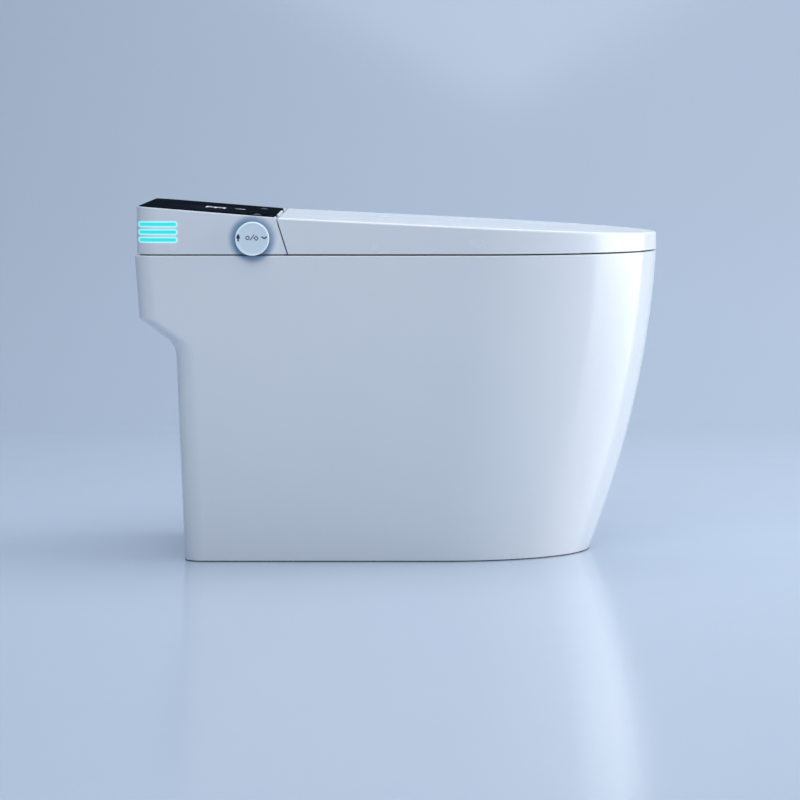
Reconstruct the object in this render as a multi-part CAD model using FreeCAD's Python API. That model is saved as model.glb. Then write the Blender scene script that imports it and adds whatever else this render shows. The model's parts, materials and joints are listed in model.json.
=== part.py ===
import FreeCAD, Part
import math
import os

V = FreeCAD.Vector

# Smart toilet with a heated seat, a bidet unit and a dryer, in millimetres.
# Origin: centre of the floor outlet, on the floor. +X points to the front, +Z up.
# The side with the control knob is the -Y side.

# ---------------------------------------------------------------- overall sizes
overall_length = 700.0
outlet_from_rear = 250.0
rim_height = 410.0
housing_rise = 65.0         # rear top of the housing above the rim
rim_half_width = 191.5
base_half_width = 155.0

rear_x = -outlet_from_rear
nose_x = rear_x + overall_length
rear_top_height = rim_height + housing_rise

# ---------------------------------------------------------------- ceramic body
nose_draft = 3.26           # degrees, slope of the nose just under the rim
nose_curve_radius = 1266.0  # large arc of the nose, seen from the side
side_draft = 1.5
rim_ellipse_length = 250.0  # half axis of the half ellipse at the rim
base_ellipse_length = 201.0
rear_corner_radius = 25.0
pedestal_inset_top = 50.0   # pedestal back, measured forward from the rear
pedestal_inset_base = 62.0
overhang_rear_drop = 84.0   # height of the overhang's rear face
overhang_inset = 5.5
underside_run = 32.5
underside_fall = 24.0
pedestal_fillet = 30.0
overhang_fillet = 6.0
arc_steps = 7               # outlines along each rounding of the rear line
meet_rounds = 12            # steps to find where pedestal and underside meet
rim_edge_radius = 1.5
ceramic_wall = 12.0
rim_thickness = 25.0
overhang_joint = 50.0         # joint of the overhang's casting, measured forward from the rear

bowl_rear_from_nose = 456.0
bowl_front_from_nose = 50.0
bowl_half_width = 146.0
sump_height = 102.0
sump_center_from_nose = 238.0
sump_half_length = 42.0
sump_half_width = 36.0

well_front_x = -95.0        # front wall of the open well behind the bowl
well_rear_wall = 14.0
well_half_width = 166.0
well_floor_height = 215.0

channel_half_width = 78.0   # passage for nozzles and dryer, through the bridge
channel_drop = 38.0         # channel floor below the rim

trap_bore_radius = 26.0
trap_wall = 9.0
trap_bend_radius = 38.0
trap_inlet_height = 128.0
trap_weir_height = 195.0
trap_outlet_height = 42.0

flush_channel_radius = 8.0
flush_channel_y = -110.0
flush_channel_drop = 14.0

# ---------------------------------------------------------------- floor outlet
outlet_bore_radius = 40.0
outlet_bore_length = 38.0
outlet_lip = 4.0
adapter_wall = 5.0
adapter_height = 75.0
flange_radius = 86.0
flange_thickness = 8.0
flange_hole_radius = 4.5
flange_hole_spacing = 140.0

# ---------------------------------------------------------------- rear housing
seam_gap = 2.0              # gap between the ceramic rim and the parts above it
housing_inset_rear = 3.0
housing_wall = 3.0
seam_top_from_rear = 186.4  # slanted seam between housing and lid
seam_rise = 50.0            # top of the slanted seam above the rim
seam_foot_from_rear = 202.2
lid_seam_gap = 1.6
panel_thickness = 3.0
housing_edge_radius = 1.2
panel_margin = 1.6
panel_fit = 0.2
shell_top_wall = 2.5

bar_from_rear = 6.5
bar_length = 51.0
bar_height = 6.3
bar_pitch = 10.2
bar_count = 3
bar_top_drop = 23.8         # middle of the upper light bar, below the rear top
led_board_thickness = 1.6

plate_thickness = 3.0
plate_inset = 5.0

# ---------------------------------------------------------------- control knob
knob_from_rear = 156.5
knob_rise = 22.6            # knob's axis above the rim
knob_radius = 22.7
knob_depth = 9.0
knob_travel = 1.5
knob_gap = 2.2
ring_inner_radius = 15.0
ring_outer_radius = 20.5
ring_depth = 2.5
ring_proud = 0.5
encoder_size = 20.0
encoder_depth = 10.0
stem_radius = 3.0
stem_clearance = 0.05

# ---------------------------------------------------------------- lid and seat
lid_front_rise = 25.0       # lid's top at the nose above the rim
lid_top_wall = 4.5
lid_side_wall = 4.0
lid_edge_radius = 3.0
hinge_setback = 30.0        # hinge axis behind the top of the seam, square to it
barrel_radius = 11.0
shaft_radius = 4.0
shaft_clearance = 0.05
side_clearance = 1.0
seat_arm_inner_y = 90.0
seat_arm_width = 28.0
lid_arm_width = 30.0
arm_gap = 2.0
ear_thickness = 4.0
arm_thickness = 8.0
lid_arm_reach = 90.0
arm_seat_gap = 0.8

seat_lid_gap = 3.5
seat_side_gap = 4.0
seat_foot_gap = 4.0
swing_clearance = 1.5
seat_wall = 3.0
seat_edge_radius = 6.0
seat_hole_half_length = 165.0
seat_hole_half_width = 112.0
seat_hole_from_nose = 235.0
heater_thickness = 1.0
heater_inset = 10.0
bumper_radius = 9.0

# ---------------------------------------------------------------- bidet nozzles
nozzle_angle = 12.0
mouth_x = -14.0
mouth_drop = 19.0           # nozzle mouth below the rim
wand_radius = 6.0
wand_bore_clearance = 0.08
wand_length = 180.0
wand_spacing = 24.0
tip_length = 16.0
wand_stroke = 105.0
guide_length = 150.0
guide_half_width = 24.0
guide_half_height = 8.5
rack_width = 5.0
gear_module = 0.8
pinion_teeth = 14
pinion_width = 4.0
pinion_from_tip = 68.0
mesh_clearance = 0.25
motor_radius = 12.0
motor_length = 19.0

# ---------------------------------------------------------------- dryer
blower_x = -152.0
blower_radius = 34.0
blower_height = 28.0
blower_wall = 2.0
wheel_radius = 26.0
wheel_height = 18.0
blade_count = 20
duct_inner_y = 50.0
duct_width = 22.0
duct_height = 16.0
duct_wall = 1.5
flap_thickness = 1.5
flap_gap = 0.8

# ---------------------------------------------------------------- deodoriser
filter_x = -200.0
filter_length = 40.0
filter_height = 28.0
filter_depth = 62.0
filter_rise = 24.0
filter_clearance = 0.4
fan_radius = 13.0
fan_depth = 8.0
fan_blades = 7

# ---------------------------------------------------------------- fixings and supply
chassis_bolt_radius = 3.0
chassis_sleeve_radius = 6.0
chassis_bolt_from_seam = 20.0
chassis_bolt_y = 128.0
bolt_head_radius = 6.5
bolt_head_height = 5.0
inlet_x_from_rear = 28.0
inlet_y = 120.0
inlet_thread_radius = 10.475
inlet_thread_drop = 125.0   # lower end of the thread below the rim
inlet_thread_length = 14.0
inlet_bore_radius = 7.0
inlet_collar_step = 1.0
inlet_flange_radius = 13.5
inlet_flange_height = 4.0
collar_radius = 16.0
collar_drop = 72.0
strainer_length = 22.0
strainer_wall = 1.2
valve_height = 26.0
valve_coil_radius = 10.0
valve_coil_height = 22.0
valve_port_reach = 6.0
valve_port_depth = 4.0        # bottom of the port's bore, from the valve's middle
pipe_radius = 5.0
pipe_wall = 1.5
pipe_drop = 56.0
gland_y = 82.0
gland_bore_radius = 3.75
gland_radius = 8.0
gland_drop = 112.0
gland_flange_step = 3.0
gland_flange_height = 3.0
tank_floor_gap = 2.0
tank_top_drop = 38.0
tank_wall = 3.0
tank_corner_radius = 8.0
pump_x = -140.0
pump_y = 34.0
pump_radius = 30.0
pump_height = 62.0
pump_motor_radius = 15.0
pump_motor_offset = 10.0
pump_motor_height = 48.0
spout_wall = 2.0
spout_height = 14.0
suction_radius = 7.0
suction_rise = 23.0         # suction pipe above the well's floor
flush_hose_radius = 7.5
flush_hose_wall = 1.8
flush_hose_bend = 24.0
flush_hose_seat = 12.0
rim_jet_length = 24.0
rim_jet_bore = 5.0
supply_box = (-178.0, -108.0, 95.0, 160.0, 46.0)
vent_count = 6
vent_width = 3.0

# ---------------------------------------------------------------- boards and small parts
led_board_inset = 14.0
led_foot_depth = 8.0
board_outline = (-238.0, -198.0, -34.0, 98.0)
board_height = 42.0
board_post_radius = 3.0
chip_count = 6
chip_size = 16.0
chip_height = 4.0
chip_inset = 12.0
slot_rear_x = -164.0
slot_wide_x = -112.0
knob_edge_radius = 1.6
knob_wall = 2.5
knob_boss_wall = 2.5
encoder_spare = 0.5           # beyond the pushed stem's end
bracket_half_length = 10.0
bracket_cap = 0.7
damper_half_length = 14.0
damper_width = 30.0
damper_drop = 16.0
damper_rise = 4.5
notch_rise = 14.0           # floor of the hinge notches above the rim
seat_slot_drop = 9.0        # top of the seat arms' slots below the seam top
seat_bumper_points = ((60.0, 150.0), (330.0, 132.0))
heater_box = (-236.0, -174.0, -150.0, -42.0, 34.0)
heater_corner_radius = 6.0
spigot_radius = 4.0
spigot_length = 8.0
spigot_spacing = 20.0
spigot_margin = 6.0
diverter_place = (-140.0, -62.0)
diverter_radius = 13.0
diverter_height = 18.0
diverter_port_reach = 6.0
diverter_port_shares = (0.35, 0.7)
rack_rise = 1.8
rack_spare = 4.0
tooth_root = 1.25
tooth_tip = 1.0
tooth_foot_share = 0.62
tooth_tip_share = 0.2
tooth_sink = 0.2              # how far a rack tooth's foot goes into the rack
pinion_tooth_sink = 0.3
rack_key_clearance = 0.3
wand_bore_radius = 3.2
pinion_shaft_radius = 2.0
jet_count = 3
jet_pitch = 3.0
jet_radius = 0.6
guide_foot_x = -150.0
guide_foot_length = 22.0
guide_foot_width = 11.0
blower_motor_height = 11.0
blower_mouth_margin = 6.0     # rim of the wheel outside the inlet mouth
wheel_floor_gap = 2.5
wheel_hub_radius = 5.0
wheel_plate = 2.0
blade_turn = 35.0             # degrees
strap_half_width = 4.0
duct_rear_x = -112.0
duct_bend_x = -64.0
duct_bend_drop = 19.0
duct_mouth_drop = 26.0
flap_pin_radius = 0.8
flap_barrel_radius = 1.4
element_length = 34.0
element_pitch = 4.0
element_margin = 3.0
filter_slots = 8
fan_gap = 1.0
fan_hub_radius = 5.0
fan_axle_radius = 1.5
fan_blade_turn = 25.0         # degrees
fan_frame_wall = 3.0
fan_frame_clearance = 0.8
filter_slot_half_width = 1.2
lid_arm_run = 6.0             # from the seam's top to where the arm meets the lid
arm_notch_run = 5.0           # how far the hinge notches run past the seam's foot
flap_edge_gap = 0.5

# ---------------------------------------------------------------- derived planes
seam_top_height = rim_height + seam_rise
lid_front_height = rim_height + lid_front_rise
bar_top_height = rear_top_height - bar_top_drop
knob_height = rim_height + knob_rise
notch_floor = rim_height + notch_rise
seat_slot_top = seam_top_height - seat_slot_drop
filter_z = rim_height + filter_rise
channel_floor_height = rim_height - channel_drop
flush_channel_height = rim_height - flush_channel_drop
mouth_height = rim_height - mouth_drop
duct_bend_floor = rim_height - duct_bend_drop
duct_mouth_floor = rim_height - duct_mouth_drop
inlet_thread_bottom = rim_height - inlet_thread_drop
collar_top = rim_height - collar_drop
pipe_height = rim_height - pipe_drop
gland_bottom = rim_height - gland_drop
suction_height = well_floor_height + suction_rise
tank_box = (-182.0, -101.0, -160.0, -20.0,
            well_floor_height + tank_floor_gap, rim_height - tank_top_drop)
rim_ellipse_x = nose_x - rim_ellipse_length
seam_top_x = rear_x + seam_top_from_rear
seam_foot_x = rear_x + seam_foot_from_rear
seam_base_z = rim_height + seam_gap
seam_run = seam_foot_x - seam_top_x
seam_fall = seam_top_height - rim_height
seam_length = math.hypot(seam_run, seam_fall)
seam_normal_x = seam_fall / seam_length
seam_normal_z = seam_run / seam_length
housing_rear_x = rear_x + housing_inset_rear
housing_slope = (rear_top_height - seam_top_height) / (seam_top_x - rear_x)
lid_slope = (seam_top_height - lid_front_height) / (nose_x - seam_top_x)
hinge_x = seam_top_x - hinge_setback * seam_normal_x
hinge_z = seam_top_height - hinge_setback * seam_normal_z
plate_top_z = rim_height + plate_thickness
inlet_x = rear_x + inlet_x_from_rear
cut_spare = 5.0               # how far a shape runs past what it trims
far = 600.0                 # larger than any part, for cutting tools
skin = 0.01


def box(x0, x1, y0, y1, z0, z1):
    return Part.makeBox(x1 - x0, y1 - y0, z1 - z0, V(x0, y0, z0))


def disc(x, y, z, radius, height):
    return Part.makeCylinder(radius, height, V(x, y, z), V(0, 0, 1))


def rod(x, z, radius, y0, y1):
    """Cylinder along Y."""
    return Part.makeCylinder(radius, y1 - y0, V(x, y0, z), V(0, 1, 0))


def slab(points, y0, y1):
    """Side profile of X, Z points, drawn out along Y."""
    corners = [V(x, y0, z) for x, z in points]
    outline = Part.makePolygon(corners + [corners[0]])
    return Part.Face(outline).extrude(V(0, y1 - y0, 0))


def cut_all(shape, tools):
    for tool in tools:
        shape = shape.cut(tool)
    return shape


def fuse_all(shapes):
    whole = shapes[0]
    for shape in shapes[1:]:
        whole = whole.fuse(shape)
    return whole.removeSplitter()


def mirror_y(shape):
    return shape.mirror(V(0, 0, 0), V(0, 1, 0))


def both_sides(shape):
    return [shape, mirror_y(shape)]


def group(shapes):
    return Part.makeCompound(shapes)


# ---------------------------------------------------------------- plan outlines
def nose_at(z):
    drop = rim_height - z
    return nose_x - drop * math.tan(math.radians(nose_draft)) - drop ** 2 / (2 * nose_curve_radius)


def half_width_at(z):
    share = (rim_height - z) / rim_height
    straight = rim_height * math.tan(math.radians(side_draft))
    curved = rim_half_width - base_half_width - straight
    return rim_half_width - straight * share - curved * share ** 2


def ellipse_x_at(z):
    share = (rim_height - z) / rim_height
    base_x = nose_at(0) - base_ellipse_length
    return rim_ellipse_x + (base_x - rim_ellipse_x) * share


def plan_wire(z, rear, half, start, nose, corner):
    """Closed outline at one height: straight back, straight sides, half ellipse in front."""
    bend = corner * (1 - math.sqrt(0.5))
    front = Part.Ellipse(V(start, 0, z), nose - start, half)
    quarter = math.pi / 2
    edges = [
        Part.makeLine(V(rear, half - corner, z), V(rear, corner - half, z)),
        Part.Arc(V(rear, corner - half, z), V(rear + bend, bend - half, z),
                 V(rear + corner, -half, z)).toShape(),
        Part.makeLine(V(rear + corner, -half, z), V(start, -half, z)),
        Part.ArcOfEllipse(front, -quarter, 0).toShape(),
        Part.ArcOfEllipse(front, 0, quarter).toShape(),
        Part.makeLine(V(start, half, z), V(rear + corner, half, z)),
        Part.Arc(V(rear + corner, half, z), V(rear + bend, half - bend, z),
                 V(rear, half - corner, z)).toShape(),
    ]
    return Part.Wire(edges)


def ellipse_wire(x, z, half_length, half_width):
    return Part.Wire([Part.Ellipse(V(x, 0, z), half_length, half_width).toShape()])


def rim_prism(inset, z0, z1, rear):
    """Upright solid inside the rim outline, shrunk by inset."""
    corner = max(rear_corner_radius - inset, seat_wall)
    outline = plan_wire(z0, rear, rim_half_width - inset, rim_ellipse_x, nose_x - inset, corner)
    return Part.Face(outline).extrude(V(0, 0, z1 - z0))


# ---------------------------------------------------------------- ceramic body
def stack_loft(inset, levels):
    """Smooth body through plan outlines; levels are pairs of height and rear X."""
    corner = max(rear_corner_radius - inset, seat_wall)
    wires = []
    for z, rear in levels:
        wires.append(plan_wire(z, rear + inset, half_width_at(z) - inset,
                               ellipse_x_at(z), nose_at(z) - inset, corner))
    return Part.makeLoft(wires, True, False)


def pedestal_back_at(z):
    top = rear_x + pedestal_inset_top
    base = rear_x + pedestal_inset_base
    return base + (top - base) * z / rim_height


def even_levels(z_low, z_high, count, rear_at):
    heights = [z_low + (z_high - z_low) * i / (count - 1) for i in range(count)]
    return [(z, rear_at(z)) for z in heights]


def underside_slope():
    return underside_fall / underside_run


def underside_x_at(z):
    corner_z = rim_height - overhang_rear_drop
    return rear_x + overhang_inset + (corner_z - z) / underside_slope()


def arc_levels(low, high, bulge_x, radius):
    """Heights and rear X along the arc from low to high, both given as (x, z) points."""
    middle_x = (low[0] + high[0]) / 2
    middle_z = (low[1] + high[1]) / 2
    chord = math.hypot(high[0] - low[0], high[1] - low[1])
    rise = math.sqrt(radius ** 2 - (chord / 2) ** 2)
    normal_x = (high[1] - low[1]) / chord
    normal_z = -(high[0] - low[0]) / chord
    if normal_x * bulge_x > 0:
        normal_x, normal_z = -normal_x, -normal_z
    center_x = middle_x + normal_x * rise
    center_z = middle_z + normal_z * rise
    first = math.atan2(low[1] - center_z, low[0] - center_x)
    last = math.atan2(high[1] - center_z, high[0] - center_x)
    turn = (last - first + math.pi) % (2 * math.pi) - math.pi
    levels = []
    for i in range(arc_steps):
        angle = first + turn * i / (arc_steps - 1)
        levels.append((center_z + radius * math.sin(angle), center_x + radius * math.cos(angle)))
    return levels


def tangent_points(meet, below, above, radius):
    """Ends of a fillet of this radius in the corner at meet, towards below and above."""
    ends = []
    for other in (below, above):
        length = math.hypot(other[0] - meet[0], other[1] - meet[1])
        ends.append(((other[0] - meet[0]) / length, (other[1] - meet[1]) / length))
    cosine = ends[0][0] * ends[1][0] + ends[0][1] * ends[1][1]
    reach = radius / math.tan(math.acos(cosine) / 2)
    return [(meet[0] + x * reach, meet[1] + z * reach) for x, z in ends]


def rear_line():
    """Corners of the rear line, seen from the side: pedestal back, underside, rear face."""
    corner_z = rim_height - overhang_rear_drop
    z = corner_z
    for _ in range(meet_rounds):
        z = corner_z - underside_slope() * (pedestal_back_at(z) - rear_x - overhang_inset)
    return (pedestal_back_at(z), z), (rear_x + overhang_inset, corner_z)


def ceramic_outside():
    """Outside of the ceramic body, in five stacked lofts that meet at level outlines."""
    meet, corner = rear_line()
    base = (pedestal_back_at(0), 0)
    top = (rear_x, rim_height)
    foot, shoulder = tangent_points(meet, base, corner, pedestal_fillet)
    low, high = tangent_points(corner, meet, top, overhang_fillet)
    face_slope = (top[0] - corner[0]) / (top[1] - corner[1])
    stacks = [
        even_levels(0, foot[1], 8, pedestal_back_at),
        arc_levels(foot, shoulder, 1, pedestal_fillet),
        even_levels(shoulder[1], low[1], 3, underside_x_at),
        arc_levels(low, high, -1, overhang_fillet),
        even_levels(high[1], rim_height, 4, lambda z: corner[0] + face_slope * (z - corner[1])),
    ]
    body = fuse_all([stack_loft(0, levels) for levels in stacks])
    rim = [e for e in body.Edges if e.BoundBox.ZMin > rim_height - rim_edge_radius]
    return body.makeFillet(rim_edge_radius, rim)


def bowl_loft(grow):
    """Bowl from the rim down to the sump; grow gives its outer skin."""
    rear = nose_x - bowl_rear_from_nose
    front = nose_x - bowl_front_from_nose
    middle = (rear + front) / 2
    half = (front - rear) / 2
    sump_x = nose_x - sump_center_from_nose
    depth = rim_height - sump_height + grow
    shares = [0.0, 0.08, 0.27, 0.47, 0.66, 0.84, 1.0]
    wires = []
    for share in shares:
        blend = share ** 1.25
        wide = math.cos(blend * math.pi / 2) ** 0.9
        x = middle + (sump_x - middle) * math.sin(blend * math.pi / 2)
        length = sump_half_length + (half - sump_half_length) * wide
        width = sump_half_width + (bowl_half_width - sump_half_width) * wide
        z = rim_height - depth * share
        wires.append(ellipse_wire(x, z, length + grow, width + grow))
    return Part.makeLoft(wires, True, False)


def trap_path(end_z):
    """Centre line from the sump, over the weir and down to the outlet."""
    bend = trap_bend_radius
    rise_x = 2 * bend
    sump_x = nose_x - sump_center_from_nose
    turn = bend * (1 - math.sqrt(0.5))
    low = trap_inlet_height
    top = trap_weir_height
    return Part.Wire([
        Part.makeLine(V(sump_x, 0, low), V(rise_x + bend, 0, low)),
        Part.Arc(V(rise_x + bend, 0, low), V(rise_x + turn, 0, low + turn),
                 V(rise_x, 0, low + bend)).toShape(),
        Part.makeLine(V(rise_x, 0, low + bend), V(rise_x, 0, top)),
        Part.Arc(V(rise_x, 0, top), V(bend, 0, top + bend), V(0, 0, top)).toShape(),
        Part.makeLine(V(0, 0, top), V(0, 0, end_z)),
    ])


def trap_tube(radius, end_z):
    sump_x = nose_x - sump_center_from_nose
    circle = Part.Circle(V(sump_x, 0, trap_inlet_height), V(1, 0, 0), radius).toShape()
    return trap_path(end_z).makePipeShell([Part.Wire([circle])], True, True)


def well_profile(grow):
    rear = rear_x + well_rear_wall - grow
    corner_z = rim_height - overhang_rear_drop + ceramic_wall * 0.9 - grow
    step_x = rear_x + pedestal_inset_top + ceramic_wall - grow
    fall = underside_fall / underside_run
    step_z = corner_z - fall * (step_x - rear)
    return [
        (rear, rim_height + 1),
        (rear, corner_z),
        (step_x, step_z),
        (step_x, well_floor_height - grow),
        (well_front_x + grow, well_floor_height - grow),
        (well_front_x + grow, rim_height + 1),
    ]


def skirt_hollow():
    """Everything inside the skirt's wall, from the floor to the underside of the rim."""
    return stack_loft(ceramic_wall, even_levels(-1.0, rim_height - rim_thickness, 8,
                                                pedestal_back_at))


def overhang_space():
    return box(-far, rear_x + overhang_joint, -far, far, -far, far)


def without_openings(body):
    """Cuts the well, the bowl, the trap way, the channels and the holes out of one casting."""
    well = slab(well_profile(0), -well_half_width, well_half_width)
    bowl = bowl_loft(0)
    channel = box(well_front_x - 1, nose_x - sump_center_from_nose,
                  -channel_half_width, channel_half_width, channel_floor_height, far)
    flush_channel = Part.makeCylinder(flush_channel_radius, nose_x - sump_center_from_nose
                                      - well_front_x, V(well_front_x - 1, flush_channel_y,
                                                        flush_channel_height), V(1, 0, 0))
    body = cut_all(body, [well, bowl, trap_tube(trap_bore_radius, -1.0),
                          channel, flush_channel])
    for x, y in chassis_bolt_places():
        body = body.cut(disc(x, y, rim_height - rim_thickness - 1, chassis_sleeve_radius,
                             rim_thickness + 2))
    for x, y, radius in service_holes():
        body = body.cut(disc(x, y, well_floor_height, radius, rim_height - well_floor_height))
    return body


def ceramic_body():
    """Outer casting: skirt and rim."""
    casting = ceramic_outside().cut(skirt_hollow()).cut(overhang_space())
    return without_openings(casting)


def ceramic_overhang():
    """Rear casting that stands out over the pedestal and carries the services."""
    casting = ceramic_outside().common(overhang_space())
    return without_openings(casting)


def bowl_casting():
    """Inner casting, stuck into the outer one before firing: bowl and trap way."""
    hollow = skirt_hollow()
    bowl = bowl_loft(ceramic_wall).common(hollow)
    trap = trap_tube(trap_bore_radius + trap_wall, trap_outlet_height).common(hollow)
    return without_openings(bowl.fuse(trap))


def well_casting():
    """Inner casting behind the bowl, stuck in before firing: the open well's floor and walls."""
    return without_openings(slab(well_profile(ceramic_wall), -far, far).common(skirt_hollow()))


def chassis_bolt_places():
    x = seam_foot_x - chassis_bolt_from_seam
    return [(x, -chassis_bolt_y), (x, chassis_bolt_y)]


def service_holes():
    return [(inlet_x, inlet_y, inlet_thread_radius + inlet_collar_step),
            (inlet_x, gland_y, gland_radius)]


def service_collars():
    """Collars that stand on the slanted floor of the well and carry the inlet and the gland level."""
    inside = slab(well_profile(0), -far, far)
    collars = []
    for x, y, radius in service_holes():
        collar = disc(x, y, well_floor_height, collar_radius, collar_top - well_floor_height)
        collars.append(collar.common(inside).cut(disc(x, y, 0, radius, far)))
    return group(collars)


# ---------------------------------------------------------------- floor outlet pieces
def outlet_adapter():
    """Plastic sleeve between the ceramic outlet and the drain, with its floor flange."""
    outer = outlet_bore_radius + adapter_wall
    body = disc(0, 0, 0, outer, adapter_height)
    body = body.fuse(disc(0, 0, 0, flange_radius, flange_thickness)).removeSplitter()
    lip_top = outlet_bore_length + outlet_lip
    tools = [
        disc(0, 0, -1, outlet_bore_radius, outlet_bore_length + 1),
        disc(0, 0, 0, trap_bore_radius, lip_top),
        disc(0, 0, lip_top, outlet_bore_radius, far),
    ]
    for side in (-1, 1):
        tools.append(disc(0, side * flange_hole_spacing / 2, -1,
                          flange_hole_radius, flange_thickness + 2))
    return cut_all(body, tools)


def outlet_seal():
    """Rubber ring between the ceramic outlet and the sleeve around it."""
    inner = trap_bore_radius + trap_wall
    bottom = trap_outlet_height + outlet_lip
    height = adapter_height - bottom
    ring = disc(0, 0, bottom, outlet_bore_radius - skin, height)
    return ring.cut(disc(0, 0, bottom - 1, inner + skin, height + 2))


# ---------------------------------------------------------------- tank and supply
def flush_tank():
    x0, x1, y0, y1, z0, z1 = tank_box
    wall = tank_wall
    tank = box(x0, x1, y0, y1, z0, z1)
    tank = tank.makeFillet(tank_corner_radius, [e for e in tank.Edges if e.BoundBox.ZLength > wall])
    space = box(x0 + wall, x1 - wall, y0 + wall, y1 - wall, z0 + wall, z1 - wall)
    tank = tank.cut(space)
    ports = [rod(inlet_x, pipe_height, pipe_radius, y1 - 2 * wall, y1 + wall),
             rod(pump_x, suction_height, suction_radius, y1 - 2 * wall, y1 + wall)]
    return cut_all(tank, ports)


def flush_pump():
    """Upright booster pump: volute below, suction from the tank, outlet on top."""
    body = disc(pump_x, pump_y, well_floor_height, pump_radius, pump_height)
    spout_x = pump_x + pump_radius - flush_hose_radius - spout_wall
    spout = disc(spout_x, pump_y, well_floor_height + pump_height, flush_hose_radius + spout_wall,
                 spout_height)
    suction = rod(pump_x, suction_height, suction_radius - skin, tank_box[3] - tank_wall,
                  pump_y)
    pump = fuse_all([body, spout, suction])
    bore = disc(spout_x, pump_y, well_floor_height + pump_height, flush_hose_radius,
                spout_height + 1)
    return pump.cut(bore)


def pump_motor():
    top = well_floor_height + pump_height
    return disc(pump_x - pump_motor_offset, pump_y, top, pump_motor_radius, pump_motor_height)


def flush_hose():
    """Hose from the pump up under the base plate and into the channel to the rim."""
    x = pump_x + pump_radius - flush_hose_radius - spout_wall
    low = well_floor_height + pump_height
    r = flush_hose_bend
    s = r * (1 - math.sqrt(0.5))
    z = flush_channel_height
    y = flush_channel_y
    path = Part.Wire([
        Part.makeLine(V(x, pump_y, low), V(x, pump_y, z - r)),
        Part.Arc(V(x, pump_y, z - r), V(x, pump_y - s, z - s), V(x, pump_y - r, z)).toShape(),
        Part.makeLine(V(x, pump_y - r, z), V(x, y + r, z)),
        Part.Arc(V(x, y + r, z), V(x + s, y + s, z), V(x + r, y, z)).toShape(),
        Part.makeLine(V(x + r, y, z), V(well_front_x + flush_hose_seat, y, z)),
    ])
    rings = []
    for radius in (flush_hose_radius, flush_hose_radius - flush_hose_wall):
        circle = Part.Circle(V(x, pump_y, low), V(0, 0, 1), radius).toShape()
        rings.append(path.makePipeShell([Part.Wire([circle])], True, True))
    return rings[0].cut(rings[1])


def rim_jet():
    """Nozzle at the end of the flush channel, just inside the bowl."""
    half = bowl_half_width
    length = (bowl_rear_from_nose - bowl_front_from_nose) / 2
    middle = nose_x - bowl_front_from_nose - length
    exit_x = middle - length * math.sqrt(1 - (flush_channel_y / half) ** 2)
    start = V(exit_x - rim_jet_length, flush_channel_y, flush_channel_height)
    jet = Part.makeCylinder(flush_channel_radius - skin, rim_jet_length, start, V(1, 0, 0))
    jet = jet.cut(Part.makeCylinder(rim_jet_bore, rim_jet_length + 2, start - V(1, 0, 0), V(1, 0, 0)))
    return jet


def inlet_connector():
    low = inlet_thread_bottom
    top = collar_top
    thread_top = low + inlet_thread_length
    collar = inlet_thread_radius + inlet_collar_step - skin
    body = fuse_all([
        disc(inlet_x, inlet_y, low, inlet_thread_radius, inlet_thread_length),
        disc(inlet_x, inlet_y, thread_top, collar, top - thread_top),
        disc(inlet_x, inlet_y, top, inlet_flange_radius, inlet_flange_height),
    ])
    return body.cut(disc(inlet_x, inlet_y, low - 1, inlet_bore_radius, far))


def inlet_filter():
    """Strainer basket inside the connector."""
    low = inlet_thread_bottom + inlet_thread_length
    basket = disc(inlet_x, inlet_y, low, inlet_bore_radius - skin, strainer_length)
    return basket.cut(disc(inlet_x, inlet_y, low - 1, inlet_bore_radius - strainer_wall,
                           strainer_length))


def inlet_valve():
    """Solenoid valve on the connector, with its coil."""
    low = collar_top + inlet_flange_height
    y = inlet_y
    body = disc(inlet_x, y, low, inlet_flange_radius, valve_height)
    coil = disc(inlet_x, y, low + valve_height, valve_coil_radius, valve_coil_height)
    port = rod(inlet_x, pipe_height, pipe_radius + pipe_wall,
               y - inlet_flange_radius - valve_port_reach, y)
    valve = fuse_all([body, coil, port])
    return valve.cut(rod(inlet_x, pipe_height, pipe_radius, y - far, y - valve_port_depth))


def inlet_pipe():
    """Straight pipe from the valve to the tank."""
    y0 = tank_box[3] - tank_wall
    y1 = inlet_y - inlet_flange_radius
    pipe = rod(inlet_x, pipe_height, pipe_radius - skin, y0, y1)
    return pipe.cut(rod(inlet_x, pipe_height, pipe_radius - pipe_wall, y0 - 1, y1 + 1))


def cord_gland():
    low = gland_bottom
    top = collar_top
    body = fuse_all([
        disc(inlet_x, gland_y, low, gland_radius - skin, top - low),
        disc(inlet_x, gland_y, top, gland_radius + gland_flange_step, gland_flange_height),
    ])
    return body.cut(disc(inlet_x, gland_y, low - 1, gland_bore_radius, far))


def power_supply():
    x0, x1, y0, y1, height = supply_box
    case = box(x0, x1, y0, y1, rim_height - height, rim_height)
    vents = []
    pitch = (x1 - x0) / (vent_count + 1)
    for i in range(vent_count):
        x = x0 + pitch * (i + 1)
        vents.append(box(x - vent_width / 2, x + vent_width / 2, y0 - 1, y0 + 2,
                         rim_height - height * 0.8, rim_height - height * 0.2))
    return cut_all(case, vents)


# ---------------------------------------------------------------- planes of the top shapes
def housing_top(x):
    return seam_top_height + housing_slope * (seam_top_x - x)


def lid_top(x):
    return seam_top_height - lid_slope * (x - seam_top_x)


def seam_x(z, offset=0.0):
    """X of the slanted seam at height z, moved forward square to it by offset."""
    base = seam_top_x + seam_run * (seam_top_height - z) / seam_fall
    return base + offset / seam_normal_x


def housing_profile(rear, front_offset, floor_z, top_drop):
    """Side view of the rear housing, with its sloping top and slanted front."""
    front_top = seam_top_height - top_drop
    front_x = seam_x(front_top, front_offset)
    return [
        (rear, floor_z),
        (rear, housing_top(rear) - top_drop),
        (front_x, housing_top(front_x) - top_drop),
        (seam_x(floor_z, front_offset), floor_z),
    ]


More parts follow.
